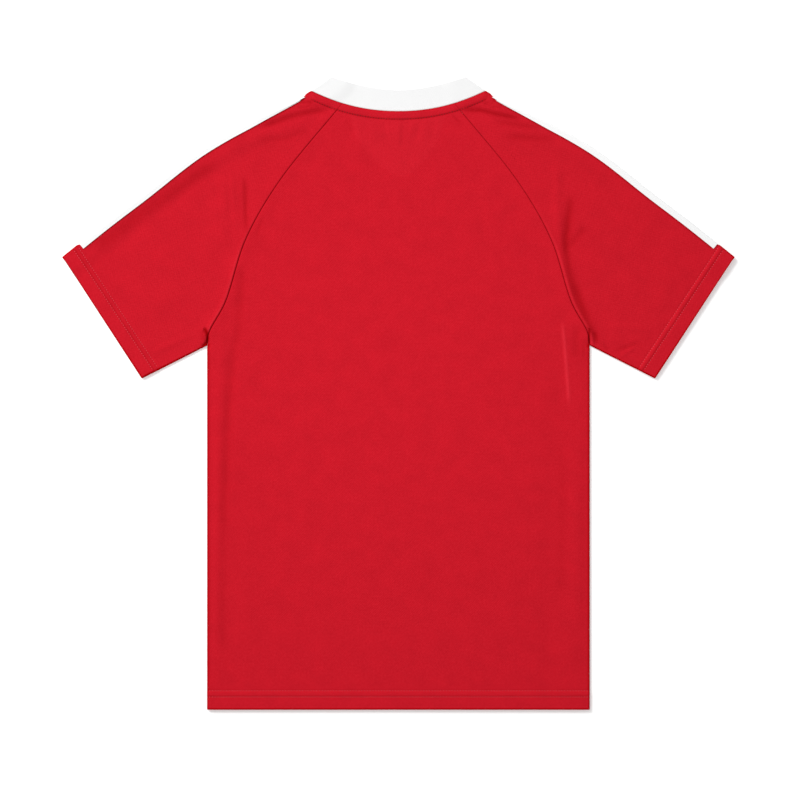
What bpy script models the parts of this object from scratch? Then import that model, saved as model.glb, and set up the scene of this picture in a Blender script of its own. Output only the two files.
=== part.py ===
"""Football jersey, laid flat on its front with its back up.

It has the pieces that a maker cuts and sews: a back and a front panel with raglan armholes, two
sleeves that fold over the shoulder, a rib V-neck collar, and a plain band along each shoulder.
Each piece is a cloth wall of its own, a seam's gap away from its neighbours.

Units are metres. X runs across the chest, Y from the hem to the collar and +Z is up. The origin is
on the surface that the jersey lies on, under the middle of its outline. The pattern below measures
across from the centre line and up from the hem, for the half at +X; the other half mirrors it.
"""

from bisect import bisect_right
from collections import namedtuple
from math import cos, exp, hypot, radians, sin, sqrt

import bpy
from mathutils import Vector

Point = namedtuple("Point", "across up")
Fold = namedtuple("Fold", "start_x start_y end_x end_y half_width height")
Row = namedtuple("Row", "edge curled share")

# Cloth
WALL = 0.0010
COLLAR_WALL = 0.0012
SEAM_GAP = 0.0003
DOUBLED_CLOTH = 0.0005

# How the upper layer lies over the lower one
UPPER_REST = 0.0015
AIR = 0.0012
LEAST_AIR = 0.0003
RIM_LOFT = 0.0010
RIM_LOFT_REACH = 0.012
RAGLAN_RISE_AT_NECK = 0.0003
RAGLAN_RISE_AT_UNDERARM = 0.0012
RAGLAN_RISE_HALF_WIDTH = 0.010

# Body
BODY_HALF_WIDTH = 0.2256
UNDERARM_HEIGHT = 0.4293
HEM_DEPTH = 0.022
HEM_STEP = 0.002

# Neck
NECK_HALF_WIDTH = 0.103
BACK_NECK_HEIGHT = 0.7053
BACK_NECK_RISE = 0.0242
BACK_NECK_CURVE = 2.1
FRONT_NECK_HEIGHT = 0.6284
NECKBAND_DEPTH = 0.0088
NECKBAND_STEP = 0.002
NECKBAND_RISE = 0.0008

# Collar
COLLAR_HALF_WIDTH = 0.0795
COLLAR_BACK_HEIGHT = 0.7307
COLLAR_TOP = 0.7462
COLLAR_BACK_CURVE = 1.8
COLLAR_FRONT_HEIGHT = 0.6600

# Shoulder band, and the room that it takes round the sleeve's fold
BAND_WALL = 0.0010
BAND_WIDTH = 0.018
BAND_ON_BACK = 0.0070
BAND_ON_BACK_AT_NECK = 0.0025
BAND_ROLL_LENGTH = 0.090
BAND_ROOM = SEAM_GAP + BAND_WALL
BAND_ROOM_FLAT = 0.018
BAND_ROOM_REACH = 0.034

# Seams and folds of the pattern, each as the few points that a smooth curve passes through
UNDERARM = Point(BODY_HALF_WIDTH, UNDERARM_HEIGHT)
BACK_RAGLAN_TOP = Point(0.0660, 0.7148)
SHOULDER_TIP = Point(NECK_HALF_WIDTH, BACK_NECK_HEIGHT + BACK_NECK_RISE)
COLLAR_TIP = Point(COLLAR_HALF_WIDTH, COLLAR_TOP)
FRONT_RAGLAN_TOP = Point(0.0730, 0.7001)
CUFF_UNDERARM = Point(0.3025, 0.3904)
BACK_RAGLAN = (
    UNDERARM,
    Point(0.2235, 0.4435),
    Point(0.2040, 0.4800),
    Point(0.1800, 0.5540),
    Point(0.1415, 0.6215),
    BACK_RAGLAN_TOP,
)
FRONT_RAGLAN = (
    UNDERARM,
    Point(0.2225, 0.4435),
    Point(0.1990, 0.4850),
    Point(0.1720, 0.5600),
    Point(0.1300, 0.6300),
    FRONT_RAGLAN_TOP,
)
SHOULDER = (
    Point(0.3965, 0.5335),
    Point(0.3443, 0.5754),
    Point(0.3019, 0.6077),
    Point(0.2341, 0.6600),
    Point(0.1728, 0.6951),
    Point(0.1198, 0.7199),
    SHOULDER_TIP,
)

# Largest folds of the upper layer, in place on the jersey: X across, Y up from the hem.
# A negative height is a trough between two pieces of raised cloth.
FOLDS = (
    Fold(-0.080, 0.709, -0.158, 0.686, 0.0060, -0.0012),
    Fold(-0.098, 0.692, -0.172, 0.668, 0.0080, 0.0014),
    Fold(0.080, 0.709, 0.150, 0.688, 0.0060, -0.0012),
    Fold(0.098, 0.692, 0.182, 0.664, 0.0080, 0.0014),
    Fold(-0.189, 0.612, -0.178, 0.558, 0.0070, 0.0016),
    Fold(-0.214, 0.600, -0.204, 0.548, 0.0090, 0.0013),
    Fold(0.192, 0.620, 0.188, 0.560, 0.0090, 0.0018),
    Fold(0.212, 0.590, 0.204, 0.500, 0.0090, -0.0012),
    Fold(-0.345, 0.546, -0.232, 0.634, 0.0120, -0.0010),
    Fold(0.330, 0.560, 0.232, 0.634, 0.0120, -0.0009),
    Fold(0.330, 0.520, 0.306, 0.470, 0.0130, 0.0011),
    Fold(-0.320, 0.505, -0.262, 0.470, 0.0150, 0.0010),
    Fold(-0.188, 0.590, -0.202, 0.160, 0.0100, -0.0010),
    Fold(-0.210, 0.420, -0.209, 0.060, 0.0090, 0.0010),
    Fold(0.187, 0.385, 0.174, 0.060, 0.0120, -0.0010),
    Fold(0.200, 0.470, 0.199, 0.370, 0.0090, 0.0014),
    Fold(0.210, 0.330, 0.208, 0.060, 0.0090, 0.0008),
    Fold(0.000, 0.692, 0.003, 0.664, 0.0060, 0.0008),
    Fold(-0.034, 0.696, -0.026, 0.668, 0.0060, 0.0007),
    Fold(0.036, 0.696, 0.028, 0.668, 0.0060, 0.0007),
)

# Where the walls have their rows and columns
RIM_ANGLES = (90, 60, 30, 0)
UPPER_FOLD = (90, 60, 30)
LOWER_FOLD = (0, -30, -60, -90)
SEAM_STRIP = (0.0060, 0.0040, 0.0020, 0.0)
RAGLAN_START = 0.006
RAGLAN_STEPS = 13
NECKBAND_STATIONS = (0.0098, 0.0078, 0.0040)
HEM_STATIONS = (0.0, HEM_DEPTH - HEM_STEP / 2, HEM_DEPTH + HEM_STEP / 2)
SIDE_STEPS = 13
BACK_COLUMNS = (0.0, 0.12, 0.24, 0.36, 0.47, 0.57, 0.66, 0.73, 0.785, 0.835, 0.88, 0.92, 0.96)
FRONT_COLUMNS = (0.0, 0.2, 0.4, 0.6, 0.8, 0.94)
BACK_NECK_STEPS = 3
FRONT_NECK_STEPS = 2
BAND_START = 0.026
BAND_END = 0.0120
SLEEVE_STEPS = 8
SLEEVE_END_SHOULDER = (BAND_END, 0.0110, 0.0082, 0.0)
SLEEVE_END_UNDERARM = (0.0115, 0.0095, 0.0055, 0.0)
COLLAR_BACK_STEPS = 18
COLLAR_FRONT_STEPS = 18
COLLAR_ROWS = 4
SPAN_POINTS = 12
SHARP_ANGLE = 50

TEAM_RED = (0.60, 0.010, 0.022, 1.0)
COLLAR_WHITE = (0.85, 0.85, 0.85, 1.0)


def ease(share):
    """0 to 1 with a soft start and end, for a share that may lie outside them."""
    share = min(max(share, 0.0), 1.0)
    return share * share * (3 - 2 * share)


def mix(first, last, share):
    return first + (last - first) * share


def turned(direction):
    """A plane direction turned a quarter turn to the left."""
    return Vector((-direction.y, direction.x))


class Path:
    """A line in the plane, read by the distance along it."""

    def __init__(self, points):
        self.points = [Vector(p) for p in points]
        self.marks = [0.0]
        for a, b in zip(self.points, self.points[1:]):
            self.marks.append(self.marks[-1] + (b - a).length)
        self.length = self.marks[-1]

    def at(self, distance):
        distance = min(max(distance, 0.0), self.length)
        i = min(bisect_right(self.marks, distance), len(self.marks) - 1) - 1
        span = self.marks[i + 1] - self.marks[i]
        return self.points[i].lerp(self.points[i + 1], (distance - self.marks[i]) / span)

    def direction(self, distance, reach=0.0015):
        return (self.at(distance + reach) - self.at(distance - reach)).normalized()

    def away(self, across, up):
        """How far a place is from the line, and the share of the line where it is nearest."""
        place = Vector((across, up))
        best, share = 1.0, 0.0
        for i, (a, b) in enumerate(zip(self.points, self.points[1:])):
            run = b - a
            along = min(max((place - a).dot(run) / run.length_squared, 0.0), 1.0)
            gap = (place - a - run * along).length
            if gap < best:
                best, share = gap, (self.marks[i] + run.length * along) / self.length
        return best, share


def smooth_path(points):
    """A centripetal Catmull-Rom curve through the points."""
    knots = [Vector(p) for p in points]
    knots = [2 * knots[0] - knots[1], *knots, 2 * knots[-1] - knots[-2]]
    line = []
    for p0, p1, p2, p3 in zip(knots, knots[1:], knots[2:], knots[3:]):
        t0 = 0.0
        t1 = t0 + sqrt((p1 - p0).length)
        t2 = t1 + sqrt((p2 - p1).length)
        t3 = t2 + sqrt((p3 - p2).length)
        for step in range(SPAN_POINTS):
            t = mix(t1, t2, step / SPAN_POINTS)
            a1 = p0.lerp(p1, (t - t0) / (t1 - t0))
            a2 = p1.lerp(p2, (t - t1) / (t2 - t1))
            a3 = p2.lerp(p3, (t - t2) / (t3 - t2))
            b1 = a1.lerp(a2, (t - t0) / (t2 - t0))
            b2 = a2.lerp(a3, (t - t1) / (t3 - t1))
            line.append(b1.lerp(b2, (t - t1) / (t2 - t1)))
    return Path([*line, knots[-2]])


def back_neck_height(across):
    return BACK_NECK_HEIGHT + BACK_NECK_RISE * (abs(across) / NECK_HALF_WIDTH) ** BACK_NECK_CURVE


def collar_back_height(across):
    rise = COLLAR_TOP - COLLAR_BACK_HEIGHT
    return COLLAR_BACK_HEIGHT + rise * (abs(across) / COLLAR_HALF_WIDTH) ** COLLAR_BACK_CURVE


def front_neck_height(across):
    return mix(FRONT_NECK_HEIGHT, SHOULDER_TIP.up, across / NECK_HALF_WIDTH)


def collar_front_height(across):
    return mix(COLLAR_FRONT_HEIGHT, COLLAR_TOP, across / COLLAR_HALF_WIDTH)


def neck_path(raglan_top, height_at, steps=24):
    """The neck seam along a sleeve, from the raglan seam out to the shoulder's tip."""
    across = [mix(raglan_top.across, NECK_HALF_WIDTH, i / steps) for i in range(steps + 1)]
    return Path([(x, height_at(x)) for x in across])


back_raglan = smooth_path(BACK_RAGLAN)
front_raglan = smooth_path(FRONT_RAGLAN)
shoulder = smooth_path(SHOULDER)
back_neck_of_sleeve = neck_path(BACK_RAGLAN_TOP, back_neck_height)
front_neck_of_sleeve = neck_path(FRONT_RAGLAN_TOP, front_neck_height)
underarm = Path([CUFF_UNDERARM, UNDERARM])
body_side = Path([(BODY_HALF_WIDTH, 0.0), UNDERARM])
cuff = Path([CUFF_UNDERARM, SHOULDER[0]])
top_fold = Path([*shoulder.points, COLLAR_TIP])


def cuff_distance(across, up):
    """How far inside the sleeve's open end a place is."""
    return (Vector((across, up)) - cuff.points[0]).dot(turned(cuff.direction(cuff.length / 2)))


def hem_share(across, up):
    """1 on the doubled cloth of the hem and the cuffs, and 0 off it."""
    beside_cuff = up > CUFF_UNDERARM.up - HEM_DEPTH
    edge = cuff_distance(across, up) if beside_cuff else up
    return ease((HEM_DEPTH + HEM_STEP / 2 - edge) / HEM_STEP)


def neckband_share(across, up):
    """1 on the topstitched band under the back neck seam, and 0 off it."""
    if across > NECK_HALF_WIDTH:
        return 0.0
    rise = back_neck_height(across + WALL) - back_neck_height(across)
    depth = (back_neck_height(across) - up) / hypot(1, rise / WALL)
    return ease((NECKBAND_DEPTH + NECKBAND_STEP / 2 - depth) / NECKBAND_STEP)


def lower_lift(across, up):
    """How far the lower layer is off the surface, with room for the band under the shoulder's fold."""
    gap = top_fold.away(across, up)[0]
    return BAND_ROOM * ease((BAND_ROOM_REACH - gap) / (BAND_ROOM_REACH - BAND_ROOM_FLAT))


def fold_height(fold, x, up):
    """A soft ridge or trough that runs out at both ends."""
    run_x, run_y = fold.end_x - fold.start_x, fold.end_y - fold.start_y
    length = hypot(run_x, run_y)
    along = ((x - fold.start_x) * run_x + (up - fold.start_y) * run_y) / length
    across = ((x - fold.start_x) * run_y - (up - fold.start_y) * run_x) / length
    from_middle = (along - length / 2) / (length / 2)
    return fold.height * exp(-((across / fold.half_width) ** 2) - from_middle**4)


def upper_inner(x, up):
    """Height of the upper layer's inner face over the surface."""
    across = abs(x)
    edge = min(line.away(across, up)[0] for line in (top_fold, underarm, body_side))
    seam, share = back_raglan.away(across, up)
    rise = mix(RAGLAN_RISE_AT_UNDERARM, RAGLAN_RISE_AT_NECK, share)
    relief = AIR + rise * exp(-((seam / RAGLAN_RISE_HALF_WIDTH) ** 2))
    relief += sum(fold_height(fold, x, up) for fold in FOLDS)
    relief *= ease(edge / RIM_LOFT_REACH)
    relief = (relief + hypot(relief, LEAST_AIR)) / 2
    loft = RIM_LOFT * (1 - ease(edge / RIM_LOFT_REACH))
    rest = UPPER_REST + SEAM_GAP * hem_share(across, up) + lower_lift(across, up)
    return rest + loft + relief


def panel_wall(across, up, upper):
    """Thickness of a panel or a sleeve, with the hems' doubled cloth and the neckband."""
    wall = WALL + DOUBLED_CLOTH * hem_share(across, up)
    return wall + NECKBAND_RISE * neckband_share(across, up) if upper else wall


def collar_wall(across, up, upper):
    return COLLAR_WALL


def on_jersey(place, side, height):
    """A place of the pattern, on one half of the jersey, in the part's frame."""
    return Vector((place.x * side, place.y - COLLAR_TOP / 2, height))


def flat_pair(place, side, upper, wall_at):
    """Outer and inner point of a layer at a place; the lower layer's outer face is its underside."""
    wall = wall_at(abs(place.x), place.y, upper)
    if upper:
        inner = upper_inner(place.x * side, place.y)
        outer = inner + wall
    else:
        outer = lower_lift(abs(place.x), place.y)
        inner = outer + wall
    return on_jersey(place, side, outer), on_jersey(place, side, inner)


def turned_pairs(edge, to, inward, side, angles, gap=0.0, wall_at=panel_wall):
    """Outer and inner points where cloth turns over an edge, from one angle to the next.

    At 90 degrees the cloth lies flat in the upper layer, at 0 it stands on the edge and at -90 it
    lies flat in the lower layer. A seam there keeps its two sides a gap apart. The points run
    from the edge to the place 'to' in plan, and inward is square to the edge.
    """
    upper_wall = wall_at(edge.x, edge.y, True)
    lower_wall = wall_at(edge.x, edge.y, False)
    upper_middle = upper_inner(edge.x * side, edge.y) + upper_wall / 2
    lower_middle = lower_lift(edge.x, edge.y) + lower_wall / 2
    middle = (upper_middle + lower_middle) / 2
    radius = (upper_middle - lower_middle - gap) / 2
    along = (to - edge).normalized()
    along = along / along.dot(inward)
    seam_side = gap / 2 if sum(angles) > 0 else -gap / 2
    pairs = []
    for angle in angles:
        out, rise = cos(radians(angle)), sin(radians(angle))
        wall = mix(lower_wall, upper_wall, (1 + rise) / 2)
        pair = []
        for face in (wall / 2, -wall / 2):
            inset = wall / 2 + radius * (1 - out) - face * out
            height = middle + seam_side + (radius + face) * rise
            pair.append(on_jersey(edge + along * inset, side, height))
        pairs.append(tuple(pair))
    return pairs


def body_rows(raglan):
    """The rows of a body panel from the hem to the neck, each by its edge."""
    heights = list(HEM_STATIONS)
    heights += [mix(heights[-1], UNDERARM_HEIGHT, (i + 1) / SIDE_STEPS) for i in range(SIDE_STEPS)]
    rows = [Row(Vector((BODY_HALF_WIDTH, height)), True, 0.0) for height in heights[:-1]]
    rows.append(Row(Vector((BODY_HALF_WIDTH - SEAM_GAP / 2, UNDERARM_HEIGHT)), True, 0.0))
    for distance in raglan_stations(raglan)[1:]:
        into_body = turned(raglan.direction(distance))
        edge = raglan.at(distance) + into_body * SEAM_GAP / 2
        rows.append(Row(edge, False, distance / raglan.length))
    return rows


def raglan_stations(raglan):
    """Distances up a raglan seam at which both the body and the sleeve have a point."""
    last = raglan.length - NECKBAND_STATIONS[0]
    even = [mix(RAGLAN_START, last, i / RAGLAN_STEPS) for i in range(RAGLAN_STEPS + 1)]
    return [0.0, *even, *(raglan.length - d for d in NECKBAND_STATIONS[1:]), raglan.length]


def body_place(row, x, neck_half, neck_height_at):
    """A place on a body row. Rows bend more and more towards the neck seam as they near it."""
    over_neck = abs(x) / row.edge.x * neck_half
    bend = row.share * (neck_height_at(neck_half) - neck_height_at(over_neck))
    return Vector((abs(x), row.edge.y - bend))


def body_panel(name, raglan, neck_height_at, columns, upper):
    """A body panel, from rows that run from one side to the other."""
    neck_half = raglan.points[-1].x
    angles = RIM_ANGLES if upper else [-angle for angle in RIM_ANGLES]
    shares = [-column for column in reversed(columns)] + list(columns[1:])
    grid = []
    for row in body_rows(raglan):
        reach = row.edge.x - (0.0 if row.curled else SEAM_STRIP[0])
        inside = []
        for share in shares:
            place = body_place(row, share * reach, neck_half, neck_height_at)
            inside.append(flat_pair(place, 1 if share >= 0 else -1, upper, panel_wall))
        rims = {}
        for side in (-1, 1):
            if row.curled:
                inward = Vector((-1, 0))
                to = row.edge + inward
                rims[side] = turned_pairs(row.edge, to, inward, side, angles, SEAM_GAP)
            else:
                strip = [body_place(row, row.edge.x - d, neck_half, neck_height_at) for d in SEAM_STRIP]
                rims[side] = [flat_pair(place, side, upper, panel_wall) for place in strip]
        grid.append([*reversed(rims[-1]), *inside, *rims[1]])
    draw_back_from_neck(grid[-1], neck_height_at)
    return cloth_wall(name, grid, TEAM_RED)


def draw_back_from_neck(row, neck_height_at):
    """Moves the top row down from the neck seam by half a seam's gap."""
    for pair in row:
        for point in pair:
            slope = (neck_height_at(abs(point.x) + WALL) - neck_height_at(abs(point.x))) / WALL
            point.y -= SEAM_GAP / 2 * hypot(1, slope)


def sleeve_lines():
    """Rows of a sleeve from the cuff to the body: the fold's and the underarm's points."""
    hem = [*HEM_STATIONS, BAND_START]
    lines = []
    for path, end in ((shoulder, SLEEVE_END_SHOULDER), (underarm, SLEEVE_END_UNDERARM)):
        last = path.length - end[0]
        even = [mix(hem[-1], last, (i + 1) / SLEEVE_STEPS) for i in range(SLEEVE_STEPS)]
        lines.append([*hem, *even, *(path.length - d for d in end[1:])])
    return lines


def sleeve_fold_row(distance):
    """The sleeve's fold on a row, drawn in where the band lies round it, and the way inward."""
    inward = turned(shoulder.direction(distance))
    under_band = HEM_STATIONS[-1] < distance < shoulder.length - SLEEVE_END_SHOULDER[2]
    return shoulder.at(distance) + inward * (BAND_ROOM if under_band else 0.0), inward


def band_edges(distance):
    """How far in from the fold the band's edges are: on the back, and on the front."""
    roll = ease((distance - shoulder.length + BAND_ROLL_LENGTH) / BAND_ROLL_LENGTH)
    on_back = mix(BAND_ON_BACK, BAND_ON_BACK_AT_NECK, roll)
    return on_back, BAND_WIDTH - on_back


def sleeve_layer(raglan, neck, neck_steps, band_edge):
    """Plan of one layer of a sleeve: rows from the cuff to the body, from the underarm to the band."""
    shoulder_rows, underarm_rows = sleeve_lines()
    fold_side = []
    for distance in shoulder_rows:
        fold, inward = sleeve_fold_row(distance)
        fold_side.append(fold + inward * band_edge(distance))
    under_side = [underarm.at(distance) for distance in underarm_rows]

    body_side_points = []
    marks = []
    for distance in raglan_stations(raglan):
        into_body = turned(raglan.direction(distance))
        body_side_points.append(raglan.at(distance) - into_body * SEAM_GAP / 2)
        marks.append(distance)
    tip_reach = band_edge(shoulder.length) / cos_to_seam(neck)
    for i in range(neck_steps):
        distance = (neck.length - tip_reach) * (i + 1) / neck_steps
        into_collar = turned(neck.direction(distance))
        body_side_points.append(neck.at(distance) - into_collar * SEAM_GAP / 2)
        marks.append(raglan.length + distance)
    fold_side[-1] = body_side_points[-1]
    under_side[-1] = body_side_points[0]
    shares = [mark / marks[-1] for mark in marks]
    cuff_side = [under_side[0].lerp(fold_side[0], share) for share in shares]

    still = len(HEM_STATIONS)
    rows = []
    for i, (under, fold) in enumerate(zip(under_side, fold_side)):
        weight = max(i - still, 0) / (len(fold_side) - 1 - still)
        under_shift = under - under_side[0].lerp(under_side[-1], weight)
        fold_shift = fold - fold_side[0].lerp(fold_side[-1], weight)
        row = []
        for low, high, share in zip(cuff_side, body_side_points, shares):
            row.append(low.lerp(high, weight) + under_shift * (1 - share) + fold_shift * share)
        rows.append(row)
    return rows


def cos_to_seam(neck):
    """Cosine between the neck seam at the shoulder's tip and the square to the fold."""
    along = (neck.at(neck.length - BAND_WIDTH) - neck.points[-1]).normalized()
    return along.dot(turned(shoulder.direction(shoulder.length)))


def sleeve_grid(side):
    """A sleeve's rows of points, and the columns at which the band's edges lie."""
    back = sleeve_layer(back_raglan, back_neck_of_sleeve, BACK_NECK_STEPS, lambda d: band_edges(d)[0])
    front = sleeve_layer(front_raglan, front_neck_of_sleeve, FRONT_NECK_STEPS, lambda d: band_edges(d)[1])
    shoulder_rows = sleeve_lines()[0]
    under_inward = -turned(underarm.direction(underarm.length / 2))
    grid = []
    for i, distance in enumerate(shoulder_rows):
        fold, inward = sleeve_fold_row(distance)
        upper, lower = back[i], front[i]
        over = turned_pairs(fold, upper[-1], inward, side, UPPER_FOLD)
        under = turned_pairs(fold, lower[-1], inward, side, LOWER_FOLD)
        rim = [-angle for angle in RIM_ANGLES]
        row = [
            *reversed(turned_pairs(upper[0], upper[1], under_inward, side, RIM_ANGLES, SEAM_GAP)),
            *(flat_pair(place, side, True, panel_wall) for place in upper[1:]),
            *over,
            *under,
            *(flat_pair(place, side, False, panel_wall) for place in reversed(lower[1:])),
            *turned_pairs(lower[0], lower[1], under_inward, side, rim, SEAM_GAP),
        ]
        grid.append(row)
    first = len(RIM_ANGLES) + len(back[0]) - 2
    return grid, first, first + len(UPPER_FOLD) + len(LOWER_FOLD) + 1


def sleeve_and_band(name, band_name, side):
    """A sleeve, and the band that is laid on its fold: made from its points, moved out."""
    grid, first, last = sleeve_grid(side)
    cloth_wall(name, grid, TEAM_RED)
    band = []
    for row in grid[len(HEM_STATIONS) : 1 - len(SLEEVE_END_SHOULDER)]:
        band_row = []
        for outer, inner in row[first : last + 1]:
            out = (outer - inner).normalized()
            band_row.append((outer + out * BAND_ROOM, outer + out * SEAM_GAP))
        band.append(band_row)
    cloth_wall(band_name, band, COLLAR_WHITE)


def collar():
    """The collar as one ring: behind the neck, round a fold, down the front and back up."""
    grid = [collar_row(i / COLLAR_ROWS) for i in range(COLLAR_ROWS + 1)]
    cloth_wall("collar", grid, COLLAR_WHITE, ring=True)


def collar_place(share, across_share, upper):
    """A place on the collar: share is across the rib, from its seam to its free edge."""
    seam = Vector((NECK_HALF_WIDTH * across_share, 0.0))
    free = Vector((COLLAR_HALF_WIDTH * across_share, 0.0))
    if upper:
        seam.y = back_neck_height(seam.x)
        free.y = collar_back_height(free.x)
    else:
        seam.y = front_neck_height(seam.x)
        free.y = collar_front_height(free.x)
    return seam + (free - seam).normalized() * SEAM_GAP / 2 * (1 - share) + (free - seam) * share


def collar_row(share):
    """One round of the collar, at a share of its width."""
    inward = turned(Vector(COLLAR_TIP) - Vector(SHOULDER_TIP)).normalized()
    back = [1 - 2 * k / COLLAR_BACK_STEPS for k in range(COLLAR_BACK_STEPS + 1)]
    front = [2 * k / COLLAR_FRONT_STEPS - 1 for k in range(COLLAR_FRONT_STEPS + 1)]
    fold = collar_place(share, 1.0, True)
    turns = {}
    for side in (1, -1):
        behind, before = collar_place(share, back[1], True), collar_place(share, -front[1], False)
        turns[side] = [
            *turned_pairs(fold, behind, inward, side, UPPER_FOLD, wall_at=collar_wall),
            *turned_pairs(fold, before, inward, side, LOWER_FOLD, wall_at=collar_wall),
        ]
    return [
        *reversed(turns[1]),
        *(collar_pair(share, s, True) for s in back[1:-1]),
        *turns[-1],
        *(collar_pair(share, s, False) for s in front[1:-1]),
    ]


def collar_pair(share, across_share, upper):
    place = collar_place(share, abs(across_share), upper)
    return flat_pair(place, 1 if across_share >= 0 else -1, upper, collar_wall)


def cloth_wall(name, grid, colour, ring=False):
    """One closed wall from rows of (outer, inner) points; a ring's rows close on themselves."""
    rows, columns = len(grid), len(grid[0])
    points = [pair[face] for face in (0, 1) for row in grid for pair in row]
    inner = rows * columns
    faces = []
    for i in range(rows - 1):
        for j in range(columns if ring else columns - 1):
            a, b = i * columns + j, i * columns + (j + 1) % columns
            faces.append((a, b, b + columns, a + columns))
            faces.append((inner + a + columns, inner + b + columns, inner + b, inner + a))
    top = (rows - 1) * columns
    if ring:
        rims = [[*range(columns)], [top + j for j in reversed(range(columns))]]
    else:
        up_the_end = [i * columns + columns - 1 for i in range(1, rows)]
        down_the_start = [i * columns for i in range(rows - 2, 0, -1)]
        rims = [[*range(columns), *up_the_end, *range(top + columns - 2, top - 1, -1), *down_the_start]]
    for rim in rims:
        for a, b in zip(rim, rim[1:] + rim[:1]):
            faces.append((b, a, inner + a, inner + b))
    if signed_volume(points, faces) < 0:
        faces = [tuple(reversed(face)) for face in faces]
    mesh = bpy.data.meshes.new(name)
    mesh.from_pydata(points, [], faces)
    mesh.shade_smooth()
    mesh.set_sharp_from_angle(angle=radians(SHARP_ANGLE))
    mesh.materials.append(cloth_material(name, colour))
    piece = bpy.data.objects.new(name, mesh)
    bpy.context.scene.collection.objects.link(piece)
    return piece


def signed_volume(points, faces):
    """Six times the volume inside the faces, negative where they face inward."""
    total = 0.0
    for a, *rest in faces:
        for b, c in zip(rest, rest[1:]):
            total += points[a].dot(points[b].cross(points[c]))
    return total


def cloth_material(name, colour):
    material = bpy.data.materials.new(name)
    material.use_nodes = True
    surface = material.node_tree.nodes["Principled BSDF"]
    surface.inputs["Base Color"].default_value = colour
    surface.inputs["Roughness"].default_value = 0.85
    surface.inputs["Metallic"].default_value = 0.0
    return material


def main():
    for old in list(bpy.data.objects):
        bpy.data.objects.remove(old)
    body_panel("back_panel", back_raglan, back_neck_height, BACK_COLUMNS, upper=True)
    body_panel("front_panel", front_raglan, front_neck_height, FRONT_COLUMNS, upper=False)
    sleeve_and_band("sleeve_left", "shoulder_band_left", -1)
    sleeve_and_band("sleeve_right", "shoulder_band_right", 1)
    collar()


main()
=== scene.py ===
"""Football jersey, laid flat on its front with its back up: its cloth, its sewing and its stage.

Each piece of cloth is a thin shell on the form of its solid, with the creases that lying flat
leaves in it. The pattern measures across from the centre line and up from the hem, in metres, for
the half at +X; the other half mirrors it.
"""

from collections import namedtuple
from math import radians

import bpy
import numpy as np
from bpy.props import FloatProperty, FloatVectorProperty, PointerProperty, StringProperty
from bpy.types import Operator, Panel, PropertyGroup
from bpy.utils import register_class, unregister_class
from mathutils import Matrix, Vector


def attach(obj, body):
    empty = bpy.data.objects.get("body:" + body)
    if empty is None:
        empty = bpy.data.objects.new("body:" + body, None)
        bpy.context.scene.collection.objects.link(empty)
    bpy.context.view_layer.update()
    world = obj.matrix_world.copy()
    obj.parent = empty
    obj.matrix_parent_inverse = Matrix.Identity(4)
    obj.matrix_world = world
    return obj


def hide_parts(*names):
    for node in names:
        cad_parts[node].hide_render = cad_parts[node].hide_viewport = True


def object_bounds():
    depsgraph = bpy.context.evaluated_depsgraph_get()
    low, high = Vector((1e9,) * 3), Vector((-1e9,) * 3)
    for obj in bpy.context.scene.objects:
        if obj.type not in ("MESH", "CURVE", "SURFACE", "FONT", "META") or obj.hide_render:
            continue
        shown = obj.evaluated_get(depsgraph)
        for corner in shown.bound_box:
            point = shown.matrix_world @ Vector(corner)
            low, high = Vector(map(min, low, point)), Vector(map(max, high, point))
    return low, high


bl_info = {
    "name": "Football Jersey",
    "version": (1, 0, 0),
    "blender": (4, 5, 0),
    "location": "View3D > Sidebar > Jersey",
    "description": "Makes the cloth, the sewing and the stage of a football jersey laid flat",
    "category": "Object",
}

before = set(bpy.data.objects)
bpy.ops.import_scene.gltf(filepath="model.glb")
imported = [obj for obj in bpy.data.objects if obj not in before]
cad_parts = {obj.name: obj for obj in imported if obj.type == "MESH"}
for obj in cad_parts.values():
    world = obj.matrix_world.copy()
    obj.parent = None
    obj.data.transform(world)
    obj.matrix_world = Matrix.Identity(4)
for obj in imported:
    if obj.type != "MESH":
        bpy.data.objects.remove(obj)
CAD_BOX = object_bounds()

Crease = namedtuple("Crease", "start_x start_y end_x end_y half_width height")
Fold = namedtuple("Fold", "points half_width height shade")

# Cloth of the solids, which the shells lie on
WALL = 0.0010
COLLAR_WALL = 0.0012
SEAM_GAP = 0.0003
SEWN_GAP = 0.00006
DOUBLED_CLOTH = 0.0005
UPPER_REST = 0.0015
AIR = 0.0012
LEAST_AIR = 0.0003
RIM_LOFT = 0.0010
RIM_LOFT_REACH = 0.012
RAGLAN_RISE_AT_NECK = 0.0003
RAGLAN_RISE_AT_UNDERARM = 0.0012
RAGLAN_RISE_HALF_WIDTH = 0.010

# Pattern
BODY_HALF_WIDTH = 0.2256
UNDERARM_HEIGHT = 0.4293
HEM_DEPTH = 0.022
HEM_STEP = 0.002
NECK_HALF_WIDTH = 0.103
BACK_NECK_HEIGHT = 0.7053
BACK_NECK_RISE = 0.0242
BACK_NECK_CURVE = 2.1
FRONT_NECK_HEIGHT = 0.6284
NECKBAND_DEPTH = 0.0088
NECKBAND_STEP = 0.0012
NECKBAND_RISE = 0.0008
NECKBAND_SHOULDER = 0.55
NECKBAND_CROWN = 0.45
NECKBAND_CROWN_LEAN = 0.8
COLLAR_HALF_WIDTH = 0.0795
COLLAR_BACK_HEIGHT = 0.7307
COLLAR_TOP = 0.7462
COLLAR_BACK_CURVE = 1.8
COLLAR_FRONT_HEIGHT = 0.6600
RIB_WIDTH = 0.0305
RIB_FADE_AT_SEAM = 0.0025
RIB_FADE_AT_EDGE = 0.0018
COLLAR_SEAM_ROLL = 0.0012
COLLAR_SEAM_SINK = 0.45
COLLAR_EDGE_ROLL = 0.0006
COLLAR_EDGE_OUTSIDE = 0.25
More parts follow.
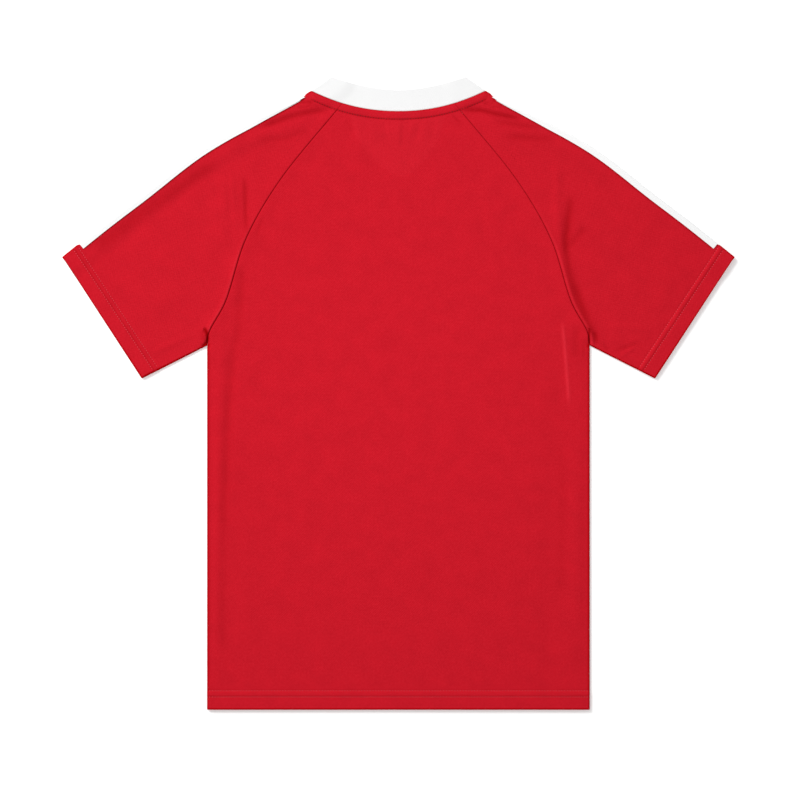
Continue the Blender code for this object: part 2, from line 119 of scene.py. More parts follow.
COLLAR_EDGE_INSIDE = 0.9
BAND_WALL = 0.0010
BAND_WIDTH = 0.018
BAND_ON_BACK = 0.0070
BAND_ON_BACK_AT_NECK = 0.0025
BAND_ROLL_LENGTH = 0.090
BAND_ROOM = SEAM_GAP + BAND_WALL
BAND_ROOM_FLAT = 0.018
BAND_ROOM_REACH = 0.034
BAND_START = 0.026
BAND_END = 0.0120
BAND_EDGE_REACH = 0.006
BAND_EDGE_THINNING = 0.5
TIP_PLAIN = 0.0058
TIP_CLEAR = 0.0014
UNDERARM = (BODY_HALF_WIDTH, UNDERARM_HEIGHT)
BACK_RAGLAN_TOP = (0.0660, 0.7148)
SHOULDER_TIP = (NECK_HALF_WIDTH, BACK_NECK_HEIGHT + BACK_NECK_RISE)
COLLAR_TIP = (COLLAR_HALF_WIDTH, COLLAR_TOP)
FRONT_RAGLAN_TOP = (0.0730, 0.7001)
CUFF_UNDERARM = (0.3025, 0.3904)
BACK_RAGLAN = (
    UNDERARM,
    (0.2235, 0.4435),
    (0.2040, 0.4800),
    (0.1800, 0.5540),
    (0.1415, 0.6215),
    BACK_RAGLAN_TOP,
)
FRONT_RAGLAN = (
    UNDERARM,
    (0.2225, 0.4435),
    (0.1990, 0.4850),
    (0.1720, 0.5600),
    (0.1300, 0.6300),
    FRONT_RAGLAN_TOP,
)
SHOULDER = (
    (0.3965, 0.5335),
    (0.3443, 0.5754),
    (0.3019, 0.6077),
    (0.2341, 0.6600),
    (0.1728, 0.6951),
    (0.1198, 0.7199),
    SHOULDER_TIP,
)
SPAN_POINTS = 12
BACK_NECK_POINTS = 40

# Creases of the upper layer, in place on the jersey: x across, y up from the hem.
# The large ones are in the solids as well. A negative height is a trough.
LARGE_CREASES = (
    Crease(-0.080, 0.709, -0.158, 0.686, 0.0060, -0.0008),
    Crease(-0.098, 0.692, -0.172, 0.668, 0.0080, 0.0007),
    Crease(0.080, 0.709, 0.150, 0.688, 0.0060, -0.0008),
    Crease(0.098, 0.692, 0.182, 0.664, 0.0080, 0.0007),
    Crease(-0.214, 0.600, -0.204, 0.548, 0.0090, 0.0010),
    Crease(-0.345, 0.546, -0.232, 0.634, 0.0120, -0.0010),
    Crease(0.330, 0.560, 0.232, 0.634, 0.0120, -0.0009),
    Crease(0.330, 0.520, 0.306, 0.470, 0.0130, 0.0011),
    Crease(-0.320, 0.505, -0.262, 0.470, 0.0150, 0.0010),
    Crease(-0.210, 0.420, -0.212, 0.060, 0.0080, 0.0009),
    Crease(0.187, 0.385, 0.174, 0.060, 0.0120, -0.0008),
    Crease(0.210, 0.330, 0.208, 0.060, 0.0090, 0.0008),
    Crease(0.000, 0.692, 0.003, 0.664, 0.0060, 0.0006),
    Crease(-0.034, 0.696, -0.026, 0.668, 0.0060, 0.0005),
    Crease(0.036, 0.696, 0.028, 0.668, 0.0060, 0.0005),
)
SMALL_CREASES = (
    # gathers under the neckband
    Crease(-0.050, 0.697, -0.044, 0.676, 0.0030, 0.0003),
    Crease(-0.018, 0.693, -0.013, 0.670, 0.0028, -0.0004),
    Crease(0.006, 0.692, 0.004, 0.660, 0.0030, -0.0005),
    Crease(0.016, 0.692, 0.014, 0.674, 0.0028, 0.0003),
    Crease(0.026, 0.694, 0.021, 0.672, 0.0030, -0.0004),
    Crease(0.049, 0.698, 0.043, 0.674, 0.0035, 0.0003),
    # streaks beside the left armhole
    Crease(-0.197, 0.640, -0.191, 0.560, 0.0030, 0.0004),
    Crease(-0.216, 0.625, -0.209, 0.560, 0.0035, -0.0003),
    # right sleeve, beside the cuff and along the underarm
    Crease(0.338, 0.500, 0.322, 0.440, 0.0060, 0.0005),
    Crease(0.300, 0.448, 0.250, 0.452, 0.0050, 0.0005),
    Crease(0.288, 0.414, 0.252, 0.432, 0.0030, -0.0005),
    Crease(0.276, 0.408, 0.262, 0.420, 0.0025, 0.0004),
    # left sleeve, over the underarm
    Crease(-0.292, 0.420, -0.246, 0.440, 0.0045, 0.0005),
    Crease(-0.250, 0.478, -0.228, 0.440, 0.0060, 0.0005),
    # body
    Crease(0.096, 0.612, 0.110, 0.506, 0.0060, -0.0003),
    Crease(-0.120, 0.090, 0.060, 0.070, 0.0160, 0.0004),
    Crease(0.060, 0.180, 0.180, 0.150, 0.0180, 0.0004),
    Crease(-0.150, 0.330, -0.010, 0.350, 0.0220, 0.0004),
)
# Folds that bend: the line that each follows, how wide and how high each is, and how much painted
# shade darkens the cloth in it, from 0 to 1; below 0 it is a painted highlight on a ridge
FOLDS = (
    # left shoulder, from the neckband outwards
    Fold(
        ((-0.078, 0.7074), (-0.1037, 0.7048), (-0.1273, 0.6988), (-0.1508, 0.6906),
         (-0.170, 0.6846)), 0.0036, -0.0006, 0.58,
    ),
    Fold(((-0.098, 0.7160), (-0.117, 0.7158)), 0.0017, -0.0003, 0.70),
    Fold(((-0.0905, 0.7126), (-0.1235, 0.7092)), 0.0015, -0.0003, 0.32),
    Fold(((-0.1037, 0.6872), (-0.1332, 0.6731), (-0.172, 0.6725)), 0.0044, -0.0004, 0.20),
    # right shoulder
    Fold(
        ((0.0690, 0.7062), (0.0965, 0.7065), (0.1142, 0.7024), (0.150, 0.6955)),
        0.0028, -0.0006, 0.80,
    ),
    Fold(((0.0985, 0.7132), (0.1145, 0.7164)), 0.0016, -0.0003, 0.65),
    Fold(((0.106, 0.7096), (0.127, 0.7112)), 0.0015, -0.0003, 0.30),
    Fold(((0.109, 0.6932), (0.1378, 0.6898), (0.172, 0.6842)), 0.0038, -0.0004, 0.40),
    Fold(((0.118, 0.6768), (0.156, 0.6737), (0.192, 0.6725)), 0.0046, -0.0004, 0.38),
    # under the ends of the raglan seams
    Fold(((0.0632, 0.7016), (0.0748, 0.6900)), 0.0014, -0.0004, 0.35),
    Fold(((-0.0630, 0.6986), (-0.0525, 0.6766)), 0.0016, -0.0003, 0.20),
    # under the left band
    Fold(((-0.3617, 0.5408), (-0.2880, 0.5941), (-0.2109, 0.6481)), 0.0075, -0.0003, 0.42),
    # beside the left armhole
    Fold(
        ((-0.1815, 0.634), (-0.1803, 0.600), (-0.1800, 0.580), (-0.1785, 0.556)),
        0.0028, -0.0004, 0.50,
    ),
    Fold(((-0.1580, 0.584), (-0.1695, 0.554)), 0.0022, -0.0003, 0.22),
    Fold(((-0.207, 0.636), (-0.204, 0.600), (-0.204, 0.572)), 0.0045, 0.0004, 0.0),
    # beside the right armhole: a roll, and the trough that it falls into
    Fold(
        ((0.188, 0.650), (0.187, 0.600), (0.1905, 0.555), (0.1985, 0.518), (0.2085, 0.480)),
        0.0055, 0.0009, 0.0,
    ),
    Fold(
        ((0.2037, 0.612), (0.1996, 0.5715), (0.1973, 0.5479), (0.2002, 0.5243), (0.2049, 0.5007),
         (0.2114, 0.4830), (0.2190, 0.4653), (0.2265, 0.4512), (0.2320, 0.4400), (0.2350, 0.4270)),
        0.0048, -0.0007, 0.56,
    ),
    Fold(((0.2010, 0.592), (0.1972, 0.560), (0.1968, 0.530)), 0.0044, -0.0002, 0.18),
    Fold(
        ((0.2060, 0.512), (0.2145, 0.486), (0.2222, 0.466), (0.2275, 0.455)), 0.0046, -0.0003, 0.34,
    ),
    Fold(((0.1990, 0.5420), (0.2096, 0.5561), (0.2240, 0.5730)), 0.0046, -0.0003, 0.36),
    # right sleeve, over the underarm
    Fold(((0.2335, 0.4302), (0.2450, 0.4352)), 0.0016, 0.0005, 0.0),
    Fold(((0.2400, 0.4298), (0.2490, 0.4240)), 0.0015, -0.0003, 0.45),
    Fold(((0.2500, 0.4205), (0.2680, 0.4275), (0.2880, 0.4332)), 0.0024, -0.0004, 0.30),
    Fold(((0.2600, 0.4158), (0.2810, 0.4276)), 0.0019, 0.0005, 0.0),
    # body, below the left armhole and down its side
    Fold(
        ((-0.1838, 0.530), (-0.1862, 0.480), (-0.1892, 0.445), (-0.1945, 0.415), (-0.2009, 0.3415),
         (-0.2038, 0.271), (-0.2067, 0.205)), 0.0056, -0.0007, 0.24,
    ),
    Fold(((-0.2062, 0.218), (-0.2070, 0.150), (-0.2067, 0.060)), 0.0056, -0.0004, 0.13),
    Fold(((-0.2100, 0.462), (-0.2065, 0.430), (-0.2080, 0.390)), 0.0055, 0.0005, 0.0),
    # body, below the right armhole and down its side
    Fold(((0.2110, 0.458), (0.2105, 0.435), (0.2090, 0.408)), 0.0056, -0.0004, 0.28),
    Fold(((0.2185, 0.442), (0.2185, 0.412)), 0.0022, -0.0003, 0.25),
    Fold(
        ((0.1925, 0.462), (0.1952, 0.436), (0.1985, 0.396), (0.2015, 0.355)), 0.0017, 0.0005, -1.1,
    ),
    Fold(((0.1937, 0.320), (0.194, 0.220), (0.1925, 0.130)), 0.0065, -0.0003, 0.12),
)  # fmt: skip
# Creases of the lower layer, which lies on the surface: each lifts the cloth a little off it
UNDER_CREASES = (
    Crease(-0.150, 0.560, -0.040, 0.470, 0.0090, 0.00040),
    Crease(0.160, 0.540, 0.070, 0.430, 0.0100, 0.00035),
    Crease(-0.198, 0.380, -0.190, 0.120, 0.0080, 0.00040),
    Crease(0.194, 0.350, 0.201, 0.080, 0.0090, 0.00038),
    Crease(-0.060, 0.180, 0.020, 0.060, 0.0110, 0.00030),
    Crease(0.090, 0.250, 0.120, 0.120, 0.0120, 0.00028),
    Crease(-0.020, 0.600, 0.010, 0.520, 0.0080, 0.00030),
    Crease(0.300, 0.520, 0.250, 0.470, 0.0090, 0.00040),
    Crease(-0.310, 0.500, -0.240, 0.480, 0.0100, 0.00040),
    Crease(-0.270, 0.560, -0.220, 0.520, 0.0080, 0.00030),
    Crease(0.230, 0.590, 0.200, 0.520, 0.0080, 0.00032),
)
# Where a seam pulls the upper layer down in a narrow line, with painted shade along it
TUCKS = (
    Fold(((-0.2270, 0.4285), (-0.2650, 0.4092), (-0.3030, 0.3922)), 0.0010, -0.0006, 1.0),
    Fold(
        ((-0.2308, 0.4492), (-0.2272, 0.4472), (-0.2252, 0.4420), (-0.2250, 0.4365),
         (-0.2274, 0.4312), (-0.2320, 0.4270)), 0.0019, -0.0014, 1.3,
    ),
    Fold(((-0.2298, 0.4480), (-0.2296, 0.4350)), 0.0034, -0.0003, 0.28),
    Fold(((0.2252, 0.4510), (0.2246, 0.4400), (0.2248, 0.4280)), 0.0011, -0.0010, 1.2),
    Fold(((0.2310, 0.4450), (0.2328, 0.4370), (0.2330, 0.4310)), 0.0030, -0.0006, 0.30),
)  # fmt: skip
FOLD_END = 0.3
FOLD_FADE = 0.020
TUCK_END = 0.1
SMALL_CREASE_EDGE = 0.004
CREASE_END = 0.005

# Where the white of the collar's front shows through the back
SHOWN_V = (
    (-0.0560, 0.6985), (-0.0530, 0.6850), (-0.0490, 0.6730), (-0.0315, 0.6495), (-0.0130, 0.6340),
    (0.0050, 0.6285), (0.0190, 0.6345), (0.0320, 0.6495), (0.0475, 0.6730), (0.0520, 0.6860),
    (0.0545, 0.6985),
)  # fmt: skip
SHOWN_SHARE = 0.10
SHOWN_EDGE = 0.004
SHOWN_EDGE_AT_NECKBAND = 0.002

# How strongly painted shade in deep reds marks the sewing, from 0 to 1, and how far from it. A pair
# is for the wearer's left and right: the light comes from the left.
EDGE_PLAIN = 0.0013
EDGE_REACH = 0.0007
NECK_EDGE_MARK = 0.5
NECK_EDGE_REACH = 0.0020
SEAM_MARK_AT_UNDERARM = (1.0, 0.80)
SEAM_MARK_AT_NECK = (0.85, 0.50)
SEAM_MARK_CHANGE = 0.6
SEAM_MARK_LOSS_ON_NECKBAND = 0.6
SEAM_MARK_REACH = 0.0010
CUFF_MARK = 0.32
CUFF_MARK_INSET = 0.0011
CUFF_MARK_REACH = 0.0012
HEM_MARK = 0.15
HEM_MARK_REACH = 0.0010
NECKBAND_MARK = 0.5
NECKBAND_MARK_INSET = 0.0006
NECKBAND_MARK_REACH = 0.0009
TAPE_MARK = 0.75
TAPE_MARK_INSET = 0.0004
TAPE_MARK_REACH = 0.0012
# A painted highlight beside an armhole, on the sleeve
GLEAM = 0.5
GLEAM_INSET = 0.0024
GLEAM_REACH = 0.0009
GLEAM_FADE = 0.35

# Sewing: how far the stitch rows are from their edges, and how they draw the cloth in
HEM_ROWS = (0.0152, 0.0223)
CUFF_ROWS = (0.0164, 0.0226)
GROOVE_HALF_WIDTH = 0.0009
HEM_STITCHED = 0.2225
CUFF_STITCH_START = 0.0030
CUFF_STITCH_SCALE = 0.92
NECKBAND_STITCHED = 0.0985
NECKBAND_STITCH = (0.0031, 0.0016)
NECKBAND_STITCH_DROP = 0.0002
SUNK_IN_UPPER = 0.10
SUNK_IN_LOWER = 0.05
CUFF_FULLNESS = 0.15
HEM_FULLNESS = 0.8
SEAM_ROLL_REACH = 0.0017
TIGHT_SEAM = 0.020
SEAM_SINK_ON_BODY = 0.7
SEAM_SINK_AT_NECK = 0.45
SEAM_SINK_AT_UNDERARM = 0.5
NECK_SEAM_SINK = 0.5
LOWER_SEAM_SINK = 0.6
ALLOWANCE = 0.0062
ALLOWANCE_RISE = 0.0005
ALLOWANCE_START = 0.0004
ALLOWANCE_START_RUN = 0.0009
ALLOWANCE_END_RUN = 0.0014
ALLOWANCE_FADE = 0.3
BESIDE_ARMHOLE = 0.25
HEM_EDGE_RADIUS = 0.0007
TUNNEL_TURN = 0.0022
TUNNEL_BACK = 0.0050

HEM_GUIDE_POINTS = 220
CUFF_GUIDE_POINTS = 90
NECKBAND_GUIDE_POINTS = 168

# Knit, tape and rib: real sizes in metres, and how strongly each shows. The tape's twill and the
# rib's courses are drawn about twice as coarse as real ones, so that they show.
KNIT_DRIFT = 1.6
KNIT_GRAIN = 0.02
KNIT_CLOUDS = 0.26
GLINT_STRENGTH = 0.54
GLINT_LIMIT = 0.19
TAPE_CHEVRON = 0.004
TAPE_WEAVE = 0.0014
TAPE_CONTRAST = 0.012
RIB_COURSE = 0.0012

# Stage: a large soft light from the top left, and a soft spot over the middle
KEY_PLACE = (-2.3, 2.4, 2.6)
KEY_SIZE = 1.6
POOL_PLACE = (0.0, 0.03, 3.5)
POOL_ANGLE = 16.0
POOL_SIZE = 0.4
TABLE_GAP = 0.0002
CLOTH_TOP = 0.75

# Where the shells have their rows and columns
RIM_ANGLES = (90, 78, 65, 52, 39, 26, 13, 0)
SEAM_STRIP = (0.0030, 0.0022, 0.0016, 0.0011, 0.0007, 0.0004, 0.0002, 0.0)
MARGIN = (0.0062, 0.0044)
ROLL_OUT = 0.006
RAGLAN_SAMPLES = 400
NECK_STATIONS = (
    0.0160, 0.0140, 0.0125, 0.0115, 0.0109, 0.0104, 0.0100, 0.0096, 0.0091, 0.0084,
    0.0072, 0.0058, 0.0044, 0.0031, 0.0021, 0.0013, 0.0007, 0.0003, 0.0,
)  # fmt: skip
SLEEVE_STRIP = NECK_STATIONS[2:]
UNDERARM_STRIP = (0.0024, 0.0028, 0.0032, 0.0037, 0.0045, 0.0062)
HEM_STATIONS = (
    0.0, 0.00015, 0.0004, 0.0008, 0.0014, 0.0024, 0.0050, 0.0085, 0.0115, 0.0134,
    0.0143, 0.0150, 0.0157, 0.0164, 0.0172, 0.0182, 0.0192, 0.0202, 0.0211, 0.0218,
    0.0224, 0.0230, 0.0238, 0.0248, 0.0260,
)  # fmt: skip
BAND_INSETS = 6
SIDE_SHARE = 0.75
SIDE_COLUMNS = 0.43
SLEEVE_ROW_CELL = 1.3
SLEEVE_FRONT_CELL = 1.9
SLIDE_REACH = 0.070
BAND_SIDE_INSET = 0.0030
BAND_SIDE_INSET_LIMIT = 0.8
ROW_GRADING = 0.4
SHARP_ANGLE = 60
COLLAR_SHARES = (0.0, 0.008, 0.02, 0.04, 0.08, 0.2, 0.35, 0.5, 0.65, 0.8, 0.9, 0.95, 0.98, 1.0)
BESIDE_COLLAR_FOLD = 0.9
COLLAR_BACK_COLUMNS = 321
COLLAR_FRONT_COLUMNS = 441


def ease(share):
    """0 to 1 with a soft start and end, for shares that may lie outside them."""
    share = np.clip(share, 0.0, 1.0)
    return share * share * (3 - 2 * share)


def near(distance, reach):
    """1 at no distance, falling softly to 0 over about twice the reach."""
    return np.exp(-((distance / reach) ** 2))


def mix(first, last, share):
    return first + (last - first) * share


def unit(directions):
    return directions / np.linalg.norm(directions, axis=-1, keepdims=True)


def turned(directions):
    """Plane directions turned a quarter turn to the left."""
    return np.stack([-directions[..., 1], directions[..., 0]], axis=-1)


def dot(a, b):
    return np.sum(a * b, axis=-1)


def run_lengths(points):
    """How far along a line of points each of them is."""
    steps = np.linalg.norm(np.diff(points, axis=0), axis=1)
    return np.concatenate([[0.0], np.cumsum(steps)])


class Path:
    """A line in the plane, read by the distance along it."""

    def __init__(self, points):
        self.points = np.asarray(points, float)
        self.marks = run_lengths(self.points)
        self.length = self.marks[-1]

    def at(self, distance):
        return np.stack([np.interp(distance, self.marks, axis) for axis in self.points.T], axis=-1)

    def direction(self, distance, reach=0.0015):
        return unit(self.at(distance + reach) - self.at(distance - reach))

    def away(self, places):
        """How far places are from the line, and the shares of the line where they are nearest."""
        best = np.full(places.shape[:-1], 1.0)
        share = np.zeros(places.shape[:-1])
        for start, end, mark in zip(self.points, self.points[1:], self.marks):
            run = end - start
            length = np.linalg.norm(run)
            along = np.clip((places - start) @ run / length**2, 0.0, 1.0)
            gap = np.linalg.norm(places - start - along[..., None] * run, axis=-1)
            nearer = gap < best
            best = np.where(nearer, gap, best)
            share = np.where(nearer, (mark + length * along) / self.length, share)
        return best, share


def smooth_path(points):
    """A centripetal Catmull-Rom curve through the points."""
    knots = [np.array(p) for p in points]
    knots = [2 * knots[0] - knots[1], *knots, 2 * knots[-1] - knots[-2]]
    line = []
    for p0, p1, p2, p3 in zip(knots, knots[1:], knots[2:], knots[3:]):
        t1 = np.sqrt(np.linalg.norm(p1 - p0))
        t2 = t1 + np.sqrt(np.linalg.norm(p2 - p1))
        t3 = t2 + np.sqrt(np.linalg.norm(p3 - p2))
        for t in np.linspace(t1, t2, SPAN_POINTS, endpoint=False):
            a1 = mix(p0, p1, t / t1)
            a2 = mix(p1, p2, (t - t1) / (t2 - t1))
            a3 = mix(p2, p3, (t - t2) / (t3 - t2))
            b1 = mix(a1, a2, t / t2)
            b2 = mix(a2, a3, (t - t1) / (t3 - t1))
            line.append(mix(b1, b2, (t - t1) / (t2 - t1)))
    return Path([*line, knots[-2]])


def back_neck_height(across):
    return BACK_NECK_HEIGHT + BACK_NECK_RISE * (np.abs(across) / NECK_HALF_WIDTH) ** BACK_NECK_CURVE


def collar_back_height(across):
    rise = COLLAR_TOP - COLLAR_BACK_HEIGHT
    return COLLAR_BACK_HEIGHT + rise * (np.abs(across) / COLLAR_HALF_WIDTH) ** COLLAR_BACK_CURVE


def front_neck_height(across):
    return mix(FRONT_NECK_HEIGHT, SHOULDER_TIP[1], np.abs(across) / NECK_HALF_WIDTH)


def collar_front_height(across):
    return mix(COLLAR_FRONT_HEIGHT, COLLAR_TOP, np.abs(across) / COLLAR_HALF_WIDTH)


def steepness(height_at, across):
    """How much longer a step down is than a step square to the neck seam."""
    step = 0.0005
    return np.hypot(1, (height_at(np.abs(across) + step) - height_at(np.abs(across))) / step)


def neck_path(raglan_top, height_at, steps=24):
    """The neck seam along a sleeve, from the raglan seam out to the shoulder's tip."""
    across = np.linspace(raglan_top[0], NECK_HALF_WIDTH, steps + 1)
    return Path(np.stack([across, height_at(across)], axis=-1))


back_raglan = smooth_path(BACK_RAGLAN)
front_raglan = smooth_path(FRONT_RAGLAN)
shoulder = smooth_path(SHOULDER)
back_neck_of_sleeve = neck_path(BACK_RAGLAN_TOP, back_neck_height)
front_neck_of_sleeve = neck_path(FRONT_RAGLAN_TOP, front_neck_height)
underarm = Path([CUFF_UNDERARM, UNDERARM])
body_side = Path([(BODY_HALF_WIDTH, 0.0), UNDERARM])
cuff = Path([CUFF_UNDERARM, SHOULDER[0]])
hem = Path([(0.0, 0.0), (BODY_HALF_WIDTH, 0.0)])
top_fold = Path([*shoulder.points, COLLAR_TIP])
back_neck_x = np.linspace(0.0, NECK_HALF_WIDTH, BACK_NECK_POINTS)
back_neck = Path([(x, back_neck_height(x)) for x in back_neck_x])
front_neck = Path([(0.0, FRONT_NECK_HEIGHT), SHOULDER_TIP])


def half(places):
    """Places of either half of the jersey, on the half that the pattern draws."""
    return np.stack([np.abs(places[..., 0]), places[..., 1]], axis=-1)


def cuff_distance(places):
    """How far inside the sleeve's open end places are."""
    return (places - cuff.points[0]) @ turned(cuff.direction(cuff.length / 2))


def open_edge(places):
    """How far places are from the hem, or on a sleeve from the cuff."""
    beside_cuff = places[..., 1] > CUFF_UNDERARM[1] - HEM_DEPTH
    return np.where(beside_cuff, cuff_distance(places), places[..., 1])


def hem_share(places):
    """1 on the doubled cloth of the hem and the cuffs, and 0 off it."""
    return ease((HEM_DEPTH + HEM_STEP / 2 - open_edge(places)) / HEM_STEP)


def neck_depth(places, height_at):
    return (height_at(places[..., 0]) - places[..., 1]) / steepness(height_at, places[..., 0])


def sewn_gap(places):
    """Width of the gap along a seam: closed on the neckband, where white lies under it."""
    return mix(SEAM_GAP, SEWN_GAP, neckband_share(places))[:, None]


def neckband_share(places):
    """1 on the topstitched band under the back neck seam, and 0 off it."""
    inside = NECKBAND_DEPTH + NECKBAND_STEP / 2 - neck_depth(places, back_neck_height)
    return np.where(places[..., 0] > NECK_HALF_WIDTH, 0.0, ease(inside / NECKBAND_STEP))


def lower_lift(places):
    """How far the lower layer is off the surface: it has room for the band under the fold."""
    gap = top_fold.away(places)[0]
    return BAND_ROOM * ease((BAND_ROOM_REACH - gap) / (BAND_ROOM_REACH - BAND_ROOM_FLAT))


def crease_heights(creases, places):
    """Soft ridges and troughs that run out at both ends and at the neck seam, added up."""
    total = np.zeros(places.shape[:-1])
    for crease in creases:
        start = np.array([crease.start_x, crease.start_y])
        run = np.array([crease.end_x, crease.end_y]) - start
        length = np.linalg.norm(run)
        along = (places - start) @ run / length
        across = (places - start) @ turned(run) / length
        from_middle = (along - length / 2) / (length / 2)
        total += crease.height * np.exp(-((across / crease.half_width) ** 2) - from_middle**4)
    flat = half(places)
    return total * ease((neck_depth(flat, back_neck_height) + CREASE_END) / (2 * CREASE_END))


def folds_at(folds, places, kind):
    """The folds' heights, or how far they shade the cloth, added up."""
    total = np.zeros(places.shape[:-1])
    for fold in folds:
        line = smooth_path(fold.points)
        gap, share = line.away(places)
        end = TUCK_END if folds is TUCKS else min(FOLD_END, FOLD_FADE / line.length)
        ends = ease(share / end) * ease((1 - share) / end)
        total += getattr(fold, kind) * ends * near(gap, fold.half_width)
    return total


def upper_inner(places):
    """Height of the upper layer's inner face over the surface, for places on either half."""
    depth = cut().crease_depth
    flat = half(places)
    edge = np.minimum.reduce([line.away(flat)[0] for line in (top_fold, underarm, body_side)])
    seam, share = back_raglan.away(flat)
    rise = mix(RAGLAN_RISE_AT_UNDERARM, RAGLAN_RISE_AT_NECK, share)
    relief = AIR + rise * near(seam, RAGLAN_RISE_HALF_WIDTH)
    relief += depth * crease_heights(LARGE_CREASES, places)
    relief *= ease(edge / RIM_LOFT_REACH)
    small = crease_heights(SMALL_CREASES, places) + folds_at(FOLDS, places, "height")
    relief += depth * small * ease(edge / SMALL_CREASE_EDGE)
    relief = (relief + np.hypot(relief, LEAST_AIR)) / 2 + folds_at(TUCKS, places, "height")
    loft = RIM_LOFT * (1 - ease(edge / RIM_LOFT_REACH))
    return UPPER_REST + SEAM_GAP * hem_share(flat) + lower_lift(flat) + loft + relief


def stitched_rows(edge, rows, fullness):
    """Relief over a hem: a groove at each stitch row, and the tunnel of cloth between them."""
    groove, tunnel = cut().groove_depth, cut().tunnel_height * fullness
    first, last = rows
    relief = -groove * sum(near(edge - row, GROOVE_HALF_WIDTH) for row in rows)
    return relief + tunnel * ease((edge - first) / TUNNEL_TURN) * ease((last - edge) / TUNNEL_BACK)


def seam_drop(distance, depth):
    """How far the cloth rolls down into a seam."""
    return depth * np.clip(1 - distance / SEAM_ROLL_REACH, 0.0, 1.0) ** 2


def edge_rounding(edge):
    """How far each face of a folded edge is off its flat height."""
    inside = np.clip(HEM_EDGE_RADIUS - edge, 0.0, HEM_EDGE_RADIUS)
    return HEM_EDGE_RADIUS - np.sqrt(HEM_EDGE_RADIUS**2 - inside**2)


def panel_wall(places, upper, on_sleeve=False):
    """Thickness of a panel or a sleeve with its sewing, for places on the half that is drawn."""
    wall = WALL + DOUBLED_CLOTH * hem_share(places)
    rows = CUFF_ROWS if on_sleeve else HEM_ROWS
    edge = cuff_distance(places) if on_sleeve else places[..., 1]
    wall += stitched_rows(edge, rows, CUFF_FULLNESS if on_sleeve else HEM_FULLNESS)
    if upper:
        band = neckband_share(places)
        inset = neck_depth(places, back_neck_height) / NECKBAND_DEPTH
        full = np.sin(np.pi * np.clip(inset, 0.0, 1.0) ** NECKBAND_CROWN_LEAN)
        wall += NECKBAND_RISE * band * (NECKBAND_SHOULDER + NECKBAND_CROWN * full)
    return wall


def seam_sink(places, upper, on_sleeve=False):
    """How far a layer rolls down into the seams it is sewn into, for the half that is drawn."""
    raglan, neck = (back_raglan, back_neck) if upper else (front_raglan, front_neck)
    at_raglan, share = raglan.away(places)
    depth = cut().seam_depth * (1.0 if on_sleeve else SEAM_SINK_ON_BODY)
    at_underarm = 1 - ease(share * raglan.length / TIGHT_SEAM)
    tight = mix(1.0, SEAM_SINK_AT_NECK, share) + SEAM_SINK_AT_UNDERARM * at_underarm
    sink = seam_drop(at_raglan, depth * tight)
    sink = sink + seam_drop(neck.away(places)[0], NECK_SEAM_SINK * depth)
    if on_sleeve and upper:
        allowance = ease((at_raglan - ALLOWANCE_START) / ALLOWANCE_START_RUN)
        allowance = allowance * ease((ALLOWANCE - at_raglan) / ALLOWANCE_END_RUN)
        sink -= ALLOWANCE_RISE * allowance * (1 - ease((share - BESIDE_ARMHOLE) / ALLOWANCE_FADE))
    return sink


def collar_wall(places, *_):
    """Thickness of the collar, which is the same all over."""
    return np.full(places.shape[:-1], COLLAR_WALL)


def on_jersey(places, side, heights):
    """Places of the pattern, on one half of the jersey, in the part's frame."""
    return np.stack([places[..., 0] * side, places[..., 1] - COLLAR_TOP / 2, heights], axis=-1)


def flat_pairs(places, upper, wall_at=panel_wall, on_sleeve=False):
    """Outer and inner points of a layer, for places on either half. The lower layer's outer face
    is its underside."""
    flat = half(places)
    wall = wall_at(flat, upper, on_sleeve)
    is_panel = wall_at is panel_wall
    rounding = edge_rounding(open_edge(flat)) if is_panel else 0.0
    cloth = WALL + DOUBLED_CLOTH * hem_share(flat) if is_panel else COLLAR_WALL
    sink = seam_sink(flat, upper, on_sleeve) if is_panel else 0.0
    if upper:
        inner = upper_inner(places) + rounding - sink
        outer = inner + wall - 2 * rounding
    else:
        edge = top_fold.away(flat)[0]
        lift = crease_heights(UNDER_CREASES, places) * ease(edge / BAND_ROOM_REACH)
        drawn_in = np.maximum(cloth - wall, 0.0) + LOWER_SEAM_SINK * sink
        outer = lower_lift(flat) + lift + rounding + drawn_in
        inner = lower_lift(flat) + lift - rounding + cloth
    return on_jersey(places, 1, outer), on_jersey(places, 1, inner)


def turned_pairs(edge, to, inward, side, angles, gap=0.0, wall_at=panel_wall, on_sleeve=False):
    """Outer and inner points where cloth turns over an edge, from one angle to the next.

    At 90 degrees the cloth lies flat in the upper layer, at 0 it stands on the edge and at -90 it
    lies flat in the lower layer. The points run from the edge to the places 'to' in plan, and
    inward is square to the edge.
    """
    upper_wall = wall_at(edge, True, on_sleeve)
    lower_wall = wall_at(edge, False, on_sleeve)
    signed = edge * np.array([side, 1.0])
    sink = seam_sink(edge, True, on_sleeve) if wall_at is panel_wall else 0.0
    upper_middle = upper_inner(signed) + upper_wall / 2 - sink
    lower_middle = lower_lift(edge) + lower_wall / 2
    middle = (upper_middle + lower_middle) / 2
    radius = (upper_middle - lower_middle - gap) / 2
    rounding = edge_rounding(open_edge(edge)) if wall_at is panel_wall else 0.0
    along = unit(to - edge)
    along = along / dot(along, inward)[..., None]
    seam_side = gap / 2 if sum(angles) > 0 else -gap / 2
    faces = [[], []]
    for angle in angles:
        out, rise = np.cos(radians(angle)), np.sin(radians(angle))
        wall = mix(lower_wall, upper_wall, (1 + rise) / 2)
        for points, face in zip(faces, (wall / 2 - rounding, -wall / 2 + rounding)):
            inset = wall / 2 + radius * (1 - out) - face * out
            height = middle + seam_side + (radius + face) * rise
            points.append(on_jersey(edge + along * inset[..., None], side, height))
    return np.stack(faces[0], axis=-2), np.stack(faces[1], axis=-2)


def joined(*parts):
    """Blocks of (outer, inner) points side by side, as one block."""
    return tuple(np.concatenate([part[face] for part in parts], axis=1) for face in (0, 1))


